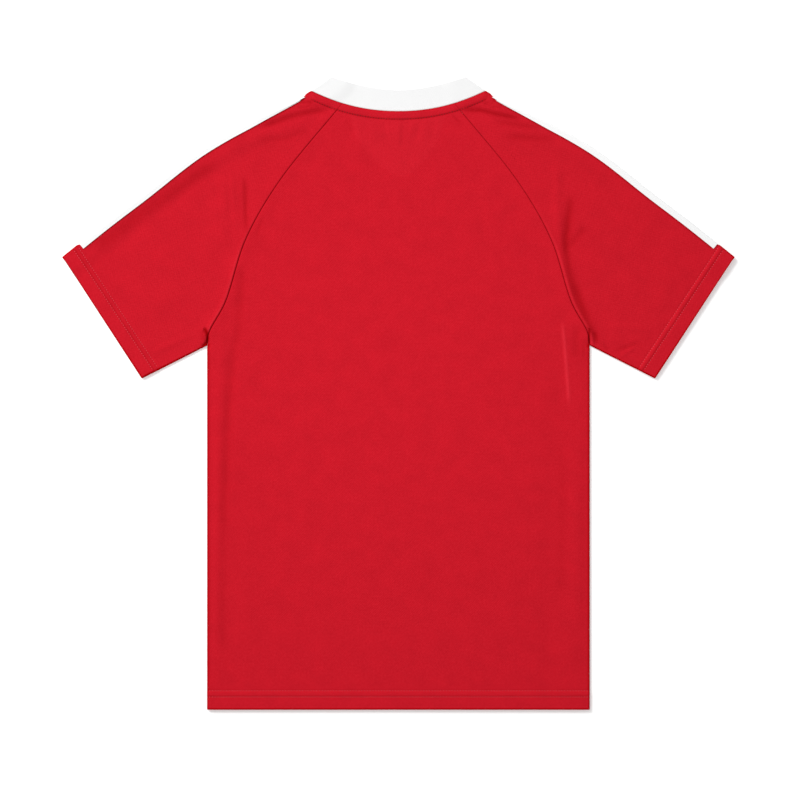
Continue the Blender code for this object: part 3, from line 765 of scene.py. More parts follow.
def reversed_columns(pair):
    return pair[0][:, ::-1], pair[1][:, ::-1]


def steps_between(first, last, cell):
    """Even steps of about one cell, without the first."""
    count = max(int(round(abs(last - first) / cell)), 1)
    return np.linspace(first, last, count + 1)[1:]


def body_panel(raglan, height_at, upper, cell):
    """Outer and inner points of a body panel, from rows that run from one side to the other."""
    heights = np.concatenate([HEM_STATIONS, steps_between(HEM_STATIONS[-1], UNDERARM_HEIGHT, cell)])
    depths = np.asarray(NECK_STATIONS if upper else NECK_STATIONS[::2])
    raglan_marks = np.linspace(0.0, raglan.length, RAGLAN_SAMPLES)
    raglan_depths = neck_depth(raglan.at(raglan_marks), height_at)
    neck_marks = np.interp(-depths, -raglan_depths, raglan_marks)
    seam_marks = steps_between(0.0, neck_marks[0], cell)
    marks = np.concatenate([seam_marks, neck_marks[1:]])

    into_body = turned(raglan.direction(marks))
    seam_edges = raglan.at(marks) + into_body * sewn_gap(raglan.at(marks)) / 2
    side_edges = np.stack([np.full_like(heights, BODY_HALF_WIDTH), heights], axis=-1)
    side_edges[-1, 0] -= SEAM_GAP / 2
    edges = np.concatenate([side_edges, seam_edges])
    curled = np.concatenate([np.ones(len(heights)), 1 - ease(marks / ROLL_OUT)])
    shares = np.concatenate([np.zeros(len(heights)), np.minimum(marks / neck_marks[0], 1.0)])
    row_depths = np.concatenate([np.full(len(heights) + len(seam_marks), depths[0]), depths[1:]])
    row_depths = np.maximum(row_depths, SEAM_GAP / 2)

    neck_half = edges[len(heights) + len(seam_marks) - 1, 0]

    def places(across):
        """Places at these distances from the centre line, one row of them for each row."""
        over_neck = across / edges[:, :1] * np.minimum(edges[:, :1], neck_half)
        over_edge = np.minimum(edges[:, :1], neck_half)
        depth = row_depths[:, None]
        here = height_at(over_neck) - depth * steepness(height_at, over_neck)
        there = height_at(over_edge) - depth * steepness(height_at, over_edge)
        up = edges[:, 1:] - shares[:, None] * (there - here)
        return np.stack([across, up], axis=-1)

    count = BODY_HALF_WIDTH / cell
    columns = np.concatenate([
        np.linspace(0.0, SIDE_SHARE, int(round((1 - SIDE_COLUMNS) * count)) + 1),
        np.linspace(SIDE_SHARE, 1.0, int(round(SIDE_COLUMNS * count)) + 1)[1:],
    ])  # fmt: skip
    inside = places(columns[None, :] * (edges[:, :1] - MARGIN[0]))
    middle = np.concatenate([inside[:, :0:-1] * np.array([-1.0, 1.0]), inside], axis=1)
    blocks = [flat_pairs(middle, upper)]
    margin = places(edges[:, :1] - np.array(MARGIN[1:]))
    strip = places(edges[:, :1] - np.array(SEAM_STRIP))
    strip[:, :, 0] = np.maximum(strip[:, :, 0], 0.0)
    angles = RIM_ANGLES if upper else [-angle for angle in RIM_ANGLES]
    inward = np.tile([-1.0, 0.0], (len(edges), 1))
    for side in (-1, 1):
        mirror = np.array([side, 1.0])
        rolled = turned_pairs(edges, edges + inward, inward, side, angles, SEAM_GAP)
        flat = flat_pairs(strip * mirror, upper)
        weight = curled[:, None, None]
        rim = tuple(mix(flat[face], rolled[face], weight) for face in (0, 1))
        block = joined(flat_pairs(margin * mirror, upper), rim)
        blocks.insert(0, reversed_columns(block)) if side < 0 else blocks.append(block)
    return joined(*blocks)


def band_edges(distance):
    """How far in from the fold the band's edges are: on the back, and on the front."""
    roll = ease((distance - shoulder.length + BAND_ROLL_LENGTH) / BAND_ROLL_LENGTH)
    on_back = mix(BAND_ON_BACK, BAND_ON_BACK_AT_NECK, roll)
    return on_back, BAND_WIDTH - on_back


def sleeve_fold(distance):
    """The sleeve's fold, drawn in where the band lies round it, and the way inward."""
    inward = turned(shoulder.direction(distance))
    from_tip = shoulder.length - distance
    drawn_in = BAND_ROOM * ease((distance - HEM_DEPTH) / (BAND_START - HEM_DEPTH))
    drawn_in *= ease((from_tip - TIP_PLAIN) / (BAND_END - TIP_CLEAR - TIP_PLAIN))
    return shoulder.at(distance) + inward * drawn_in[:, None], inward


def slide(start, end, reach, distance, length):
    """How far a row beside a seam slides along it: all of it at the seam's ends, none between."""
    return start * (1 - ease(distance / reach)) + end * (1 - ease((length - distance) / reach))


def sleeve_layer(raglan, neck, edge_index, cell, row_cell):
    """Plan of one layer of a sleeve, and its rows' places along the shoulder's fold.

    The rows run from the cuff to the body, and a row from the underarm to the band. Rows beside
    the body seam keep to its line; between them and the cuff the rows change evenly.
    """
    beside_underarm = np.array([0.0, *UNDERARM_STRIP])
    raglan_marks = np.concatenate(
        [beside_underarm, steps_between(beside_underarm[-1], raglan.length, cell)]
    )
    tip_reach = band_edges(shoulder.length)[edge_index] / cos_to_seam(neck)
    neck_marks = steps_between(0.0, neck.length - tip_reach, cell)
    raglan_run, neck_run = raglan.direction(raglan_marks), neck.direction(neck_marks)
    seam = np.concatenate([
        raglan.at(raglan_marks) - turned(raglan_run) * sewn_gap(raglan.at(raglan_marks)) / 2,
        neck.at(neck_marks) - turned(neck_run) * SEAM_GAP / 2,
    ])  # fmt: skip

    corner = unit(-raglan_run[-1] + neck_run[0])
    corner = corner / dot(corner, -turned(raglan_run[-1]))
    to_cuff = -underarm.direction(underarm.length / 2)
    to_cuff = to_cuff / dot(to_cuff, -turned(raglan_run[0]))
    down_fold = -shoulder.direction(shoulder.length)
    neck_end = back_neck_of_sleeve.direction(back_neck_of_sleeve.length)
    down_fold = down_fold / dot(down_fold, -turned(neck_end))
    at_cuff_end, at_corner = dot(to_cuff, raglan_run[0]), dot(corner, raglan_run[-1])
    on_raglan = slide(at_cuff_end, at_corner, SLIDE_REACH, raglan_marks, raglan.length)
    at_neck_start, at_tip = dot(corner, neck_run[0]), dot(down_fold, neck_run[-1])
    on_neck = mix(at_neck_start, at_tip, neck_marks / neck_marks[-1])
    away = np.concatenate([
        -turned(raglan_run) + raglan_run * on_raglan[:, None],
        -turned(neck_run) + neck_run * on_neck[:, None],
    ])  # fmt: skip
    away[0], away[len(raglan_marks) - 1], away[-1] = to_cuff, corner, down_fold
    strip = np.asarray(SLEEVE_STRIP)
    beside_seam = seam + away * strip[:, None, None]

    cuff_rows = np.asarray(HEM_STATIONS)
    fold_end = shoulder.length - strip[0] * np.linalg.norm(down_fold)
    under_end = underarm.length - strip[0] * np.linalg.norm(to_cuff)
    last_cuff_row = cuff_rows[-1]
    steps = steps_between(0.0, 1.0, row_cell / (fold_end - last_cuff_row))
    steps = steps * (1 + ROW_GRADING * (1 - steps))
    fold_marks = np.concatenate([cuff_rows, mix(last_cuff_row, fold_end, steps)])
    evenly = (fold_marks[len(cuff_rows) :] - last_cuff_row) / (fold_end - last_cuff_row)
    under_marks = np.concatenate([cuff_rows, mix(last_cuff_row, under_end, evenly)])
    fold, inward = sleeve_fold(fold_marks)
    fold_side = fold + inward * band_edges(fold_marks)[edge_index][:, None]
    under_side = underarm.at(under_marks)
    fold_side[-1], under_side[-1] = beside_seam[0, -1], beside_seam[0, 0]

    marks = np.concatenate([raglan_marks, raglan.length + neck_marks])
    cuff_length = np.linalg.norm(fold_side[0] - under_side[0])
    past_strip = np.maximum(marks - beside_underarm[-1], 0.0) / (marks[-1] - beside_underarm[-1])
    at_cuff = mix(np.minimum(marks, beside_underarm[-1]) / cuff_length, 1.0, past_strip)
    weight = np.maximum(fold_marks - last_cuff_row, 0.0) / (fold_end - last_cuff_row)
    across = mix(at_cuff[None, :, None], (marks / marks[-1])[None, :, None], weight[:, None, None])
    low = mix(under_side[0], fold_side[0], at_cuff[:, None])
    under_shift = under_side - mix(under_side[0], under_side[-1], weight[:, None])
    fold_shift = fold_side - mix(fold_side[0], fold_side[-1], weight[:, None])
    plan = mix(low, beside_seam[0], weight[:, None, None])
    plan = plan + under_shift[:, None] * (1 - across) + fold_shift[:, None] * across
    ends = shoulder.length - strip[1:] * np.linalg.norm(down_fold)
    return np.concatenate([plan, beside_seam[1:]]), np.concatenate([fold_marks, ends])


def cos_to_seam(neck):
    """Cosine between the neck seam at the shoulder's tip and the square to the fold."""
    along = unit(neck.at(neck.length - BAND_WIDTH) - neck.points[-1])
    return dot(along, turned(shoulder.direction(shoulder.length)))


def sleeve(side, cell):
    """A sleeve's outer and inner points, the columns that its band lies on, and its first row."""
    rows, front_cell = SLEEVE_ROW_CELL * cell, SLEEVE_FRONT_CELL * cell
    back, fold_marks = sleeve_layer(back_raglan, back_neck_of_sleeve, 0, cell, rows)
    front, _ = sleeve_layer(front_raglan, front_neck_of_sleeve, 1, front_cell, rows)
    fold, inward = sleeve_fold(fold_marks)
    mirror = np.array([side, 1.0])
    under_inward = np.tile(-turned(underarm.direction(underarm.length / 2)), (len(back), 1))
    blocks = []
    for layer, upper in ((back, True), (front, False)):
        sign = 1 if upper else -1
        rim_angles = [sign * angle for angle in RIM_ANGLES]
        rim = turned_pairs(
            layer[:, 0], layer[:, 1], under_inward, side, rim_angles, SEAM_GAP, on_sleeve=True
        )
        to = unit(layer[:, -1] - fold)
        to = to / dot(to, inward)[:, None]
        reach = dot(layer[:, -1] - fold, inward)
        fold_angles = [sign * angle for angle in RIM_ANGLES[:-1]]
        turn = turned_pairs(fold, layer[:, -1], inward, side, fold_angles, on_sleeve=True)
        shares = np.linspace(0.0, 1.0, BAND_INSETS + 1)[1:]
        start = np.minimum(BAND_SIDE_INSET, reach * BAND_SIDE_INSET_LIMIT)
        insets = mix(reach[:, None], start[:, None], shares[None, :])
        beside_fold = fold[:, None] + to[:, None] * insets[..., None]
        flat = np.concatenate([layer[:, 1:], beside_fold], axis=1) * mirror
        block = joined(reversed_columns(rim), flat_pairs(flat, upper, on_sleeve=True), turn)
        blocks.append(block)
    edge_on = turned_pairs(fold, back[:, -1], inward, side, [0], on_sleeve=True)
    points = joined(blocks[0], edge_on, reversed_columns(blocks[1]))
    turn_columns = len(RIM_ANGLES) - 1
    first = len(RIM_ANGLES) + back.shape[1] - 2
    last = first + 2 * (BAND_INSETS + turn_columns) + 2
    end_row = int(np.searchsorted(fold_marks, shoulder.length - BAND_END, side="right"))
    return points, (first, last), (len(HEM_STATIONS) - 1, end_row)


def shoulder_band(points, columns, rows):
    """A band laid on a sleeve's fold: the sleeve's points there, moved out."""
    outer, inner = (face[rows[0] : rows[1], columns[0] : columns[1] + 1] for face in points)
    out = unit(outer - inner)
    across = np.linspace(0.0, 1.0, outer.shape[1])
    from_edge = np.minimum(across, 1 - across) * BAND_WIDTH
    thinned = BAND_WALL * BAND_EDGE_THINNING * (1 - ease(from_edge / BAND_EDGE_REACH))
    return outer + out * (BAND_ROOM - thinned[None, :, None]), outer + out * SEAM_GAP


def collar_places(share, across, upper):
    """Places on the collar: share is across the rib, from its seam to its free edge."""
    seam_x, free_x = NECK_HALF_WIDTH * across, COLLAR_HALF_WIDTH * across
    if upper:
        seam_y, free_y = back_neck_height(seam_x), collar_back_height(free_x)
    else:
        seam_y, free_y = front_neck_height(seam_x), collar_front_height(free_x)
    seam, free = np.stack([seam_x, seam_y], axis=-1), np.stack([free_x, free_y], axis=-1)
    share = share[:, None, None]
    return seam + unit(free - seam) * SEAM_GAP / 2 * (1 - share) + (free - seam) * share


def collar_ring(pitch, rib_height):
    """The collar as one ring: behind the neck, round a fold, down the front and back up."""
    shares = np.array(COLLAR_SHARES)
    inward = unit(turned(np.array(COLLAR_TIP) - np.array(SHOULDER_TIP)))
    inward = np.tile(inward, (len(shares), 1))
    back = np.linspace(1.0, -1.0, COLLAR_BACK_COLUMNS)[2:-2]
    front = np.linspace(-1.0, 1.0, COLLAR_FRONT_COLUMNS)[2:-2]
    fold = collar_places(shares, np.array([1.0]), True)[:, 0]
    behind = collar_places(shares, np.array([BESIDE_COLLAR_FOLD]), True)[:, 0]
    before = collar_places(shares, np.array([BESIDE_COLLAR_FOLD]), False)[:, 0]
    blocks = {}
    for side in (1, -1):
        over = turned_pairs(fold, behind, inward, side, RIM_ANGLES[:-1], wall_at=collar_wall)
        under_angles = [-angle for angle in reversed(RIM_ANGLES)]
        under = turned_pairs(fold, before, inward, side, under_angles, wall_at=collar_wall)
        blocks[side] = joined(over, under)
    layers = []
    for across, upper in ((back, True), (front, False)):
        plan = collar_places(shares, np.abs(across), upper)
        plan = plan * np.stack([np.sign(across), np.ones_like(across)], -1)
        plan[:, across == 0] = collar_places(shares, np.array([0.0]), upper)
        layers.append(flat_pairs(plan, upper, collar_wall))
    outer, inner = joined(reversed_columns(blocks[1]), layers[0], blocks[-1], layers[1])
    around = run_lengths(outer[len(shares) // 2])
    ribs = round(around[-1] / pitch)
    wave = np.cos(2 * np.pi * ribs * around / around[-1])
    out = unit(outer - inner)
    from_seam, from_free = shares * RIB_WIDTH, (1 - shares) * RIB_WIDTH
    faded = ease(from_seam / RIB_FADE_AT_SEAM) * ease(from_free / RIB_FADE_AT_EDGE)
    at_seam = np.clip(1 - from_seam / COLLAR_SEAM_ROLL, 0, 1)
    at_free = np.clip(1 - from_free / COLLAR_EDGE_ROLL, 0, 1)
    sunk = COLLAR_SEAM_SINK * COLLAR_WALL * at_seam**2
    rounded = COLLAR_EDGE_OUTSIDE * COLLAR_WALL * at_free**2
    height = rib_height * (wave - 1)[None, :] * faded[:, None] / 2 - (sunk + rounded)[:, None]
    outer = outer + out * height[..., None]
    inner = inner + out * (rounded * COLLAR_EDGE_INSIDE)[:, None, None]
    return outer, inner


def add_object(name, data):
    """Puts a mesh, a light or a camera in the scene as an object."""
    added = bpy.data.objects.new(name, data)
    bpy.context.scene.collection.objects.link(added)
    return added


def cloth_shell(name, points, material, grain, ring=False, marks=None):
    """One closed shell from rows of outer and inner points; a ring's rows close on themselves.

    The UV map is in metres along the cloth's grain.
    """
    outer, inner = points
    rows, columns = outer.shape[:2]
    vertices = np.concatenate([outer.reshape(-1, 3), inner.reshape(-1, 3)])
    index = np.arange(rows * columns).reshape(rows, columns)
    after = np.roll(index, -1, axis=1) if ring else index[:, 1:]
    before = index if ring else index[:, :-1]
    a, b, c, d = before[:-1], after[:-1], after[1:], before[1:]
    over = np.stack([a, b, c, d], axis=-1).reshape(-1, 4)
    under = over[:, ::-1] + rows * columns
    if ring:
        rims = [index[0], index[-1][::-1]]
    else:
        rims = [np.concatenate([index[0], index[1:, -1], index[-1, -2::-1], index[-2:0:-1, 0]])]
    walls = [
        np.stack([np.roll(r, -1), r, r + rows * columns, np.roll(r, -1) + rows * columns], axis=-1)
        for r in rims
    ]
    faces = np.concatenate([over, under, *walls])
    if signed_volume(vertices, faces) < 0:
        faces = faces[:, ::-1]
    mesh = bpy.data.meshes.new(name)
    mesh.from_pydata(vertices.tolist(), [], faces.tolist())
    mesh.shade_smooth()
    mesh.set_sharp_from_angle(angle=radians(SHARP_ANGLE))
    corners = np.empty(len(mesh.loops), dtype=np.int32)
    mesh.loops.foreach_get("vertex_index", corners)
    uv = np.concatenate([grain, grain]) if len(grain) == rows * columns else grain
    mesh.uv_layers.new(name="grain").data.foreach_set("uv", uv[corners].ravel())
    for mark, values in (marks or {}).items():
        layer = mesh.attributes.new(mark, "FLOAT", "POINT")
        layer.data.foreach_set("value", np.concatenate([values, values]).ravel())
    mesh.materials.append(material)
    return add_object(name, mesh)


def signed_volume(vertices, faces):
    """Six times the volume inside the faces, negative where they face inward."""
    a, b, c, d = (vertices[faces[:, i]] for i in range(4))
    return np.sum(dot(a, np.cross(b, c))) + np.sum(dot(a, np.cross(c, d)))


def linear(colour):
    """An sRGB hex colour as the linear values that a shader takes."""
    value = colour.lstrip("#")
    channels = np.array([int(value[i : i + 2], 16) / 255 for i in (0, 2, 4)])
    low = channels <= 0.04045
    channels = np.where(low, channels / 12.92, ((channels + 0.055) / 1.055) ** 2.4)
    return (*channels.tolist(), 1.0)


def add_node(tree, kind, settings=None, **inputs):
    """Adds a node, with its settings, and sets or links its inputs.

    An input is named as its socket, with underscores for spaces, or in_0, in_1 for a position. A
    value that is a socket is linked.
    """
    node = tree.nodes.new(kind)
    for name, value in (settings or {}).items():
        setattr(node, name, value)
    for name, value in inputs.items():
        key = int(name[3:]) if name.startswith("in_") else name.replace("_", " ")
        socket = node.inputs[key]
        if isinstance(value, bpy.types.NodeSocket):
            tree.links.new(value, socket)
        else:
            socket.default_value = value
    return node


def start_material(name):
    """An empty material, and its shader."""
    material = bpy.data.materials.new(name)
    material.use_nodes = True
    tree = material.node_tree
    tree.nodes.clear()
    shader = tree.nodes.new("ShaderNodeBsdfPrincipled")
    output = tree.nodes.new("ShaderNodeOutputMaterial")
    tree.links.new(shader.outputs["BSDF"], output.inputs["Surface"])
    return material, tree, shader


def set_surface(tree, shader, colour, shade, roughness, specular, bump=None):
    """Gives a shader its colour, scaled by a shade, its relief and its own constants."""
    shaded = add_node(
        tree, "ShaderNodeVectorMath", {"operation": "SCALE"}, in_0=colour, Scale=shade.outputs[0]
    )
    tree.links.new(shaded.outputs[0], shader.inputs["Base Color"])
    if bump:
        tree.links.new(bump.outputs[0], shader.inputs["Normal"])
    shader.inputs["Roughness"].default_value = roughness
    shader.inputs["Specular IOR Level"].default_value = specular


def wave(tree, coordinate, pitch):
    """-1 to 1 and back once a pitch."""
    turns = add_node(
        tree, "ShaderNodeMath", {"operation": "MULTIPLY"}, in_0=coordinate, in_1=2 * np.pi / pitch
    )
    return add_node(tree, "ShaderNodeMath", {"operation": "SINE"}, in_0=turns.outputs[0]).outputs[0]


def cloudy(tree, noise, amount):
    """A shade of about 1, which a noise takes up or down by half the amount."""
    return add_node(
        tree, "ShaderNodeMath", {"operation": "MULTIPLY_ADD"},
        in_0=noise.outputs["Fac"], in_1=amount, in_2=1.0 - amount / 2,
    )  # fmt: skip


def knit_material(name, colour, shown_and_highlight_tone, shade_at_edges, shade_in_troughs, pitch, contrast):
    """Polyester interlock, piece-dyed: a fine diagonal stitch that only just shows.

    It gives the eye a matt, even colour with a faint cloudiness where the yarn took the dye
    unevenly. The real stitch is about 1 mm; by default it is drawn at twice that, so that it shows.
    A noise's scale is how many of its patches lie along a metre.
    """
    material, tree, shader = start_material(name)
    uv = add_node(tree, "ShaderNodeUVMap", {"uv_map": "grain"}).outputs[0]
    axes = add_node(tree, "ShaderNodeSeparateXYZ", in_0=uv)
    # uneven yarn: the stitches wander off their line and back every 6 mm or so
    drift = add_node(tree, "ShaderNodeTexNoise", Vector=uv, Scale=170.0, Detail=2.0)
    drift = add_node(
        tree, "ShaderNodeMath", {"operation": "MULTIPLY"},
        in_0=drift.outputs["Fac"], in_1=KNIT_DRIFT * pitch,
    )  # fmt: skip
    waves = []
    for sign in ("ADD", "SUBTRACT"):
        diagonal = add_node(
            tree, "ShaderNodeMath", {"operation": sign}, in_0=axes.outputs[0], in_1=axes.outputs[1]
        )
        diagonal = add_node(
            tree, "ShaderNodeMath", {"operation": "ADD"},
            in_0=diagonal.outputs[0], in_1=drift.outputs[0],
        )  # fmt: skip
        waves.append(wave(tree, diagonal.outputs[0], pitch * np.sqrt(2)))
    stitch = add_node(tree, "ShaderNodeMath", {"operation": "ADD"}, in_0=waves[0], in_1=waves[1])
    # grains of about one stitch, in clouds of about 22 mm
    grains = add_node(tree, "ShaderNodeTexNoise", Vector=uv, Scale=430.0, Detail=1.0)
    grain = add_node(
        tree, "ShaderNodeMath", {"operation": "MULTIPLY_ADD"},
        in_0=grains.outputs["Fac"], in_1=KNIT_GRAIN, in_2=-KNIT_GRAIN / 2,
    )  # fmt: skip
    clouds = add_node(
        tree, "ShaderNodeTexNoise", Vector=uv, Scale=45.0, Detail=6.0, Roughness=0.66
    )
    shade = add_node(
        tree, "ShaderNodeMath", {"operation": "MULTIPLY_ADD"},
        in_0=stitch.outputs[0], in_1=contrast, in_2=cloudy(tree, clouds, KNIT_CLOUDS).outputs[0],
    )  # fmt: skip
    shade = add_node(
        tree, "ShaderNodeMath", {"operation": "ADD"}, in_0=shade.outputs[0], in_1=grain.outputs[0]
    )
    # painted glints: the brightest grains take a little of the lighter red, also where nothing is
    # marked light; the light mark holds the shown white and the painted highlights
    light = add_node(tree, "ShaderNodeAttribute", {"attribute_name": "light"})
    glints = add_node(
        tree, "ShaderNodeMath", {"operation": "MULTIPLY_ADD"},
        in_0=grains.outputs["Fac"], in_1=GLINT_STRENGTH, in_2=-GLINT_LIMIT,
    )  # fmt: skip
    glints = add_node(
        tree, "ShaderNodeMath", {"operation": "ADD"},
        in_0=light.outputs["Fac"], in_1=glints.outputs[0],
    )  # fmt: skip
    tone = add_node(
        tree, "ShaderNodeMix", {"data_type": "RGBA"},
        in_0=glints.outputs[0], in_6=colour, in_7=shown_and_highlight_tone,
    )  # fmt: skip
    # painted shade: deep reds in the troughs, seams and stitch rows, and where the cloth turns over
    # an edge
    for mark, deeper in (("trough", shade_in_troughs), ("edge", shade_at_edges)):
        turn = add_node(tree, "ShaderNodeAttribute", {"attribute_name": mark})
        tone = add_node(
            tree, "ShaderNodeMix", {"data_type": "RGBA"},
            in_0=turn.outputs["Fac"], in_6=tone.outputs[2], in_7=deeper,
        )  # fmt: skip
    bump = add_node(
        tree, "ShaderNodeBump", Height=stitch.outputs[0], Distance=0.00008, Strength=0.5
    )
    set_surface(tree, shader, tone.outputs[2], shade, 0.82, 0.0, bump)
    return material


def rib_material(name, colour):
    """Cotton 1x1 rib, bleached: fine upright wales over the ribs that the shell itself has."""
    material, tree, shader = start_material(name)
    uv = add_node(tree, "ShaderNodeUVMap", {"uv_map": "grain"}).outputs[0]
    axes = add_node(tree, "ShaderNodeSeparateXYZ", in_0=uv)
    courses = wave(tree, axes.outputs[1], RIB_COURSE)
    clouds = add_node(tree, "ShaderNodeTexNoise", Vector=uv, Scale=60.0, Detail=2.0)
    bump = add_node(tree, "ShaderNodeBump", Height=courses, Distance=0.00006, Strength=0.5)
    set_surface(tree, shader, colour[:3], cloudy(tree, clouds, 0.03), 0.9, 0.15, bump)
    return material


def tape_material(name, colour):
    """Polyester herringbone tape, woven and heat-set: a little smoother and brighter than knit."""
    material, tree, shader = start_material(name)
    uv = add_node(tree, "ShaderNodeUVMap", {"uv_map": "grain"}).outputs[0]
    axes = add_node(tree, "ShaderNodeSeparateXYZ", in_0=uv)
    # chevrons: the weave runs up and down in turn
    fold = add_node(
        tree, "ShaderNodeMath", {"operation": "PINGPONG"}, in_0=axes.outputs[0], in_1=TAPE_CHEVRON
    )
    diagonal = add_node(
        tree, "ShaderNodeMath", {"operation": "ADD"}, in_0=fold.outputs[0], in_1=axes.outputs[1]
    )
    weave = wave(tree, diagonal.outputs[0], TAPE_WEAVE)
    shade = add_node(
        tree, "ShaderNodeMath", {"operation": "MULTIPLY_ADD"},
        in_0=weave, in_1=TAPE_CONTRAST, in_2=1.0 - TAPE_CONTRAST,
    )  # fmt: skip
    bump = add_node(tree, "ShaderNodeBump", Height=weave, Distance=0.00006, Strength=0.6)
    set_surface(tree, shader, colour[:3], shade, 0.7, 0.25, bump)
    return material


def thread_material(name, colour):
    """Spun polyester sewing thread, two-ply: its twist catches the light along each stitch."""
    material, tree, shader = start_material(name)
    position = add_node(tree, "ShaderNodeTexCoord").outputs["Object"]
    twist = add_node(tree, "ShaderNodeTexNoise", Vector=position, Scale=2500.0, Detail=1.0)
    set_surface(tree, shader, colour[:3], cloudy(tree, twist, 0.3), 0.55, 0.3)
    return material


def floor_material(name, colour):
    """Studio table, painted matt: an even pale ground with no pattern of its own."""
    material, tree, shader = start_material(name)
    position = add_node(tree, "ShaderNodeTexCoord").outputs["Object"]
    clouds = add_node(tree, "ShaderNodeTexNoise", Vector=position, Scale=3.0, Detail=2.0)
    set_surface(tree, shader, colour[:3], cloudy(tree, clouds, 0.004), 0.95, 0.0)
    # pale paint under this light is past white, so light bounced off it fills its own shadows
    shader.inputs["Emission Color"].default_value = (1.0, 1.0, 1.0, 1.0)
    shader.inputs["Emission Strength"].default_value = 0.20
    return material


def stitch_tree():
    """A tree that sews stitches of thread along the lines of a mesh."""
    tree = bpy.data.node_groups.new("Sewn Stitches", "GeometryNodeTree")
    face = tree.interface
    face.new_socket("Geometry", in_out="INPUT", socket_type="NodeSocketGeometry")
    defaults = {"Pitch": 0.003, "Length": 0.002, "Thread Width": 0.0006, "Lean": 0.0}
    for name, value in defaults.items():
        face.new_socket(name, in_out="INPUT", socket_type="NodeSocketFloat").default_value = value
    face.new_socket("Thread", in_out="INPUT", socket_type="NodeSocketMaterial")
    face.new_socket("Geometry", in_out="OUTPUT", socket_type="NodeSocketGeometry")
    given = tree.nodes.new("NodeGroupInput").outputs
    line = add_node(tree, "GeometryNodeMeshToCurve", Mesh=given["Geometry"])
    holes = add_node(
        tree, "GeometryNodeCurveToPoints", {"mode": "LENGTH"},
        Curve=line.outputs[0], Length=given["Pitch"],
    )  # fmt: skip
    ball = add_node(tree, "GeometryNodeMeshUVSphere", Segments=8, Rings=5, Radius=0.5)
    size = add_node(
        tree, "ShaderNodeCombineXYZ",
        X=given["Thread Width"], Y=given["Thread Width"], Z=given["Length"],
    )  # fmt: skip
    stitch = add_node(
        tree, "GeometryNodeTransform", Geometry=ball.outputs[0], Scale=size.outputs[0]
    )
    lean = add_node(tree, "FunctionNodeAxisAngleToRotation", Angle=given["Lean"])
    turn = add_node(
        tree, "FunctionNodeRotateRotation", {"rotation_space": "GLOBAL"},
        in_0=holes.outputs["Rotation"], in_1=lean.outputs[0],
    )  # fmt: skip
    sewn = add_node(
        tree, "GeometryNodeInstanceOnPoints",
        Points=holes.outputs[0], Instance=stitch.outputs[0], Rotation=turn.outputs[0],
    )  # fmt: skip
    real = add_node(tree, "GeometryNodeRealizeInstances", in_0=sewn.outputs[0])
    done = add_node(
        tree, "GeometryNodeSetMaterial", Geometry=real.outputs[0], Material=given["Thread"]
    )
    add_node(tree, "NodeGroupOutput", in_0=done.outputs[0])
    return tree


def sew(name, lines, thread, pitch, length, width, lean=0.0):
    """Stitches along lines of points, as one plain mesh."""
    vertices = np.concatenate(lines)
    edges = []
    start = 0
    for line in lines:
        edges += [(start + i, start + i + 1) for i in range(len(line) - 1)]
        start += len(line)
    guide_mesh = bpy.data.meshes.new(name + "_guide")
    guide_mesh.from_pydata(vertices.tolist(), edges, [])
    guide = add_object(name + "_guide", guide_mesh)
    tree = bpy.data.node_groups.get("Sewn Stitches") or stitch_tree()
    sewing = guide.modifiers.new("Stitches", "NODES")
    sewing.node_group = tree
    sockets = {s.name: s.identifier for s in tree.interface.items_tree if s.in_out == "INPUT"}
    values = {"Pitch": pitch, "Length": length, "Thread Width": width}
    values |= {"Lean": lean, "Thread": thread}
    for key, value in values.items():
        sewing[sockets[key]] = value
    evaluated = guide.evaluated_get(bpy.context.evaluated_depsgraph_get())
    mesh = bpy.data.meshes.new_from_object(evaluated)
    bpy.data.objects.remove(guide)
    bpy.data.meshes.remove(guide_mesh)
    if not mesh.polygons:
        raise RuntimeError(f"{name} has no stitches")
    mesh.name = name
    mesh.shade_smooth()
    return add_object(name, mesh)


def take_place(piece, node):
    """Puts a piece in the place of its solid."""
    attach(piece, "root")
    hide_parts(node)


def cut():
    return bpy.context.scene.jersey_cut


def looks():
    return bpy.context.scene.jersey_finish


def stage():
    return bpy.context.scene.jersey_stage


class JerseyCut(PropertyGroup):
    """Sizes of the cloth and its sewing"""

    body_cell: FloatProperty(
        name="Back cell", description="Size of the back panel's cells",
        default=0.0031, unit="LENGTH",
    )
    front_cell: FloatProperty(
        name="Front cell", description="Size of the front panel's cells",
        default=0.0050, unit="LENGTH",
    )
    sleeve_cell: FloatProperty(
        name="Sleeve cell", description="Size of the sleeves' cells",
        default=0.0023, unit="LENGTH",
    )
    crease_depth: FloatProperty(
        name="Crease depth", description="How strong the creases are",
        default=1.0, min=0.0, max=1.5, subtype="FACTOR",
    )
    groove_depth: FloatProperty(
        name="Stitch groove", description="How deep a row of stitches draws the cloth in",
        default=0.00034, unit="LENGTH",
    )
    tunnel_height: FloatProperty(
        name="Hem tunnel", description="How high the cloth stands between twin rows",
        default=0.00042, unit="LENGTH",
    )
    seam_depth: FloatProperty(
        name="Seam depth", description="How far the cloth rolls down into a seam",
        default=0.0009, unit="LENGTH",
    )
    rib_pitch: FloatProperty(
        name="Rib pitch", description="From one rib of the collar to the next",
        default=0.0022, unit="LENGTH",
    )
    rib_height: FloatProperty(
        name="Rib height", description="How far the collar's ribs stand up",
        default=0.00008, unit="LENGTH",
    )
    stitch_pitch: FloatProperty(
        name="Stitch pitch", description="From one hem stitch to the next",
        default=0.0033, unit="LENGTH",
    )
    stitch_length: FloatProperty(
        name="Stitch length", description="Length of a hem stitch that shows",
        default=0.0015, unit="LENGTH",
    )
    thread_width: FloatProperty(
        name="Thread width", description="Thickness of the sewing thread",
        default=0.0008, unit="LENGTH",
    )


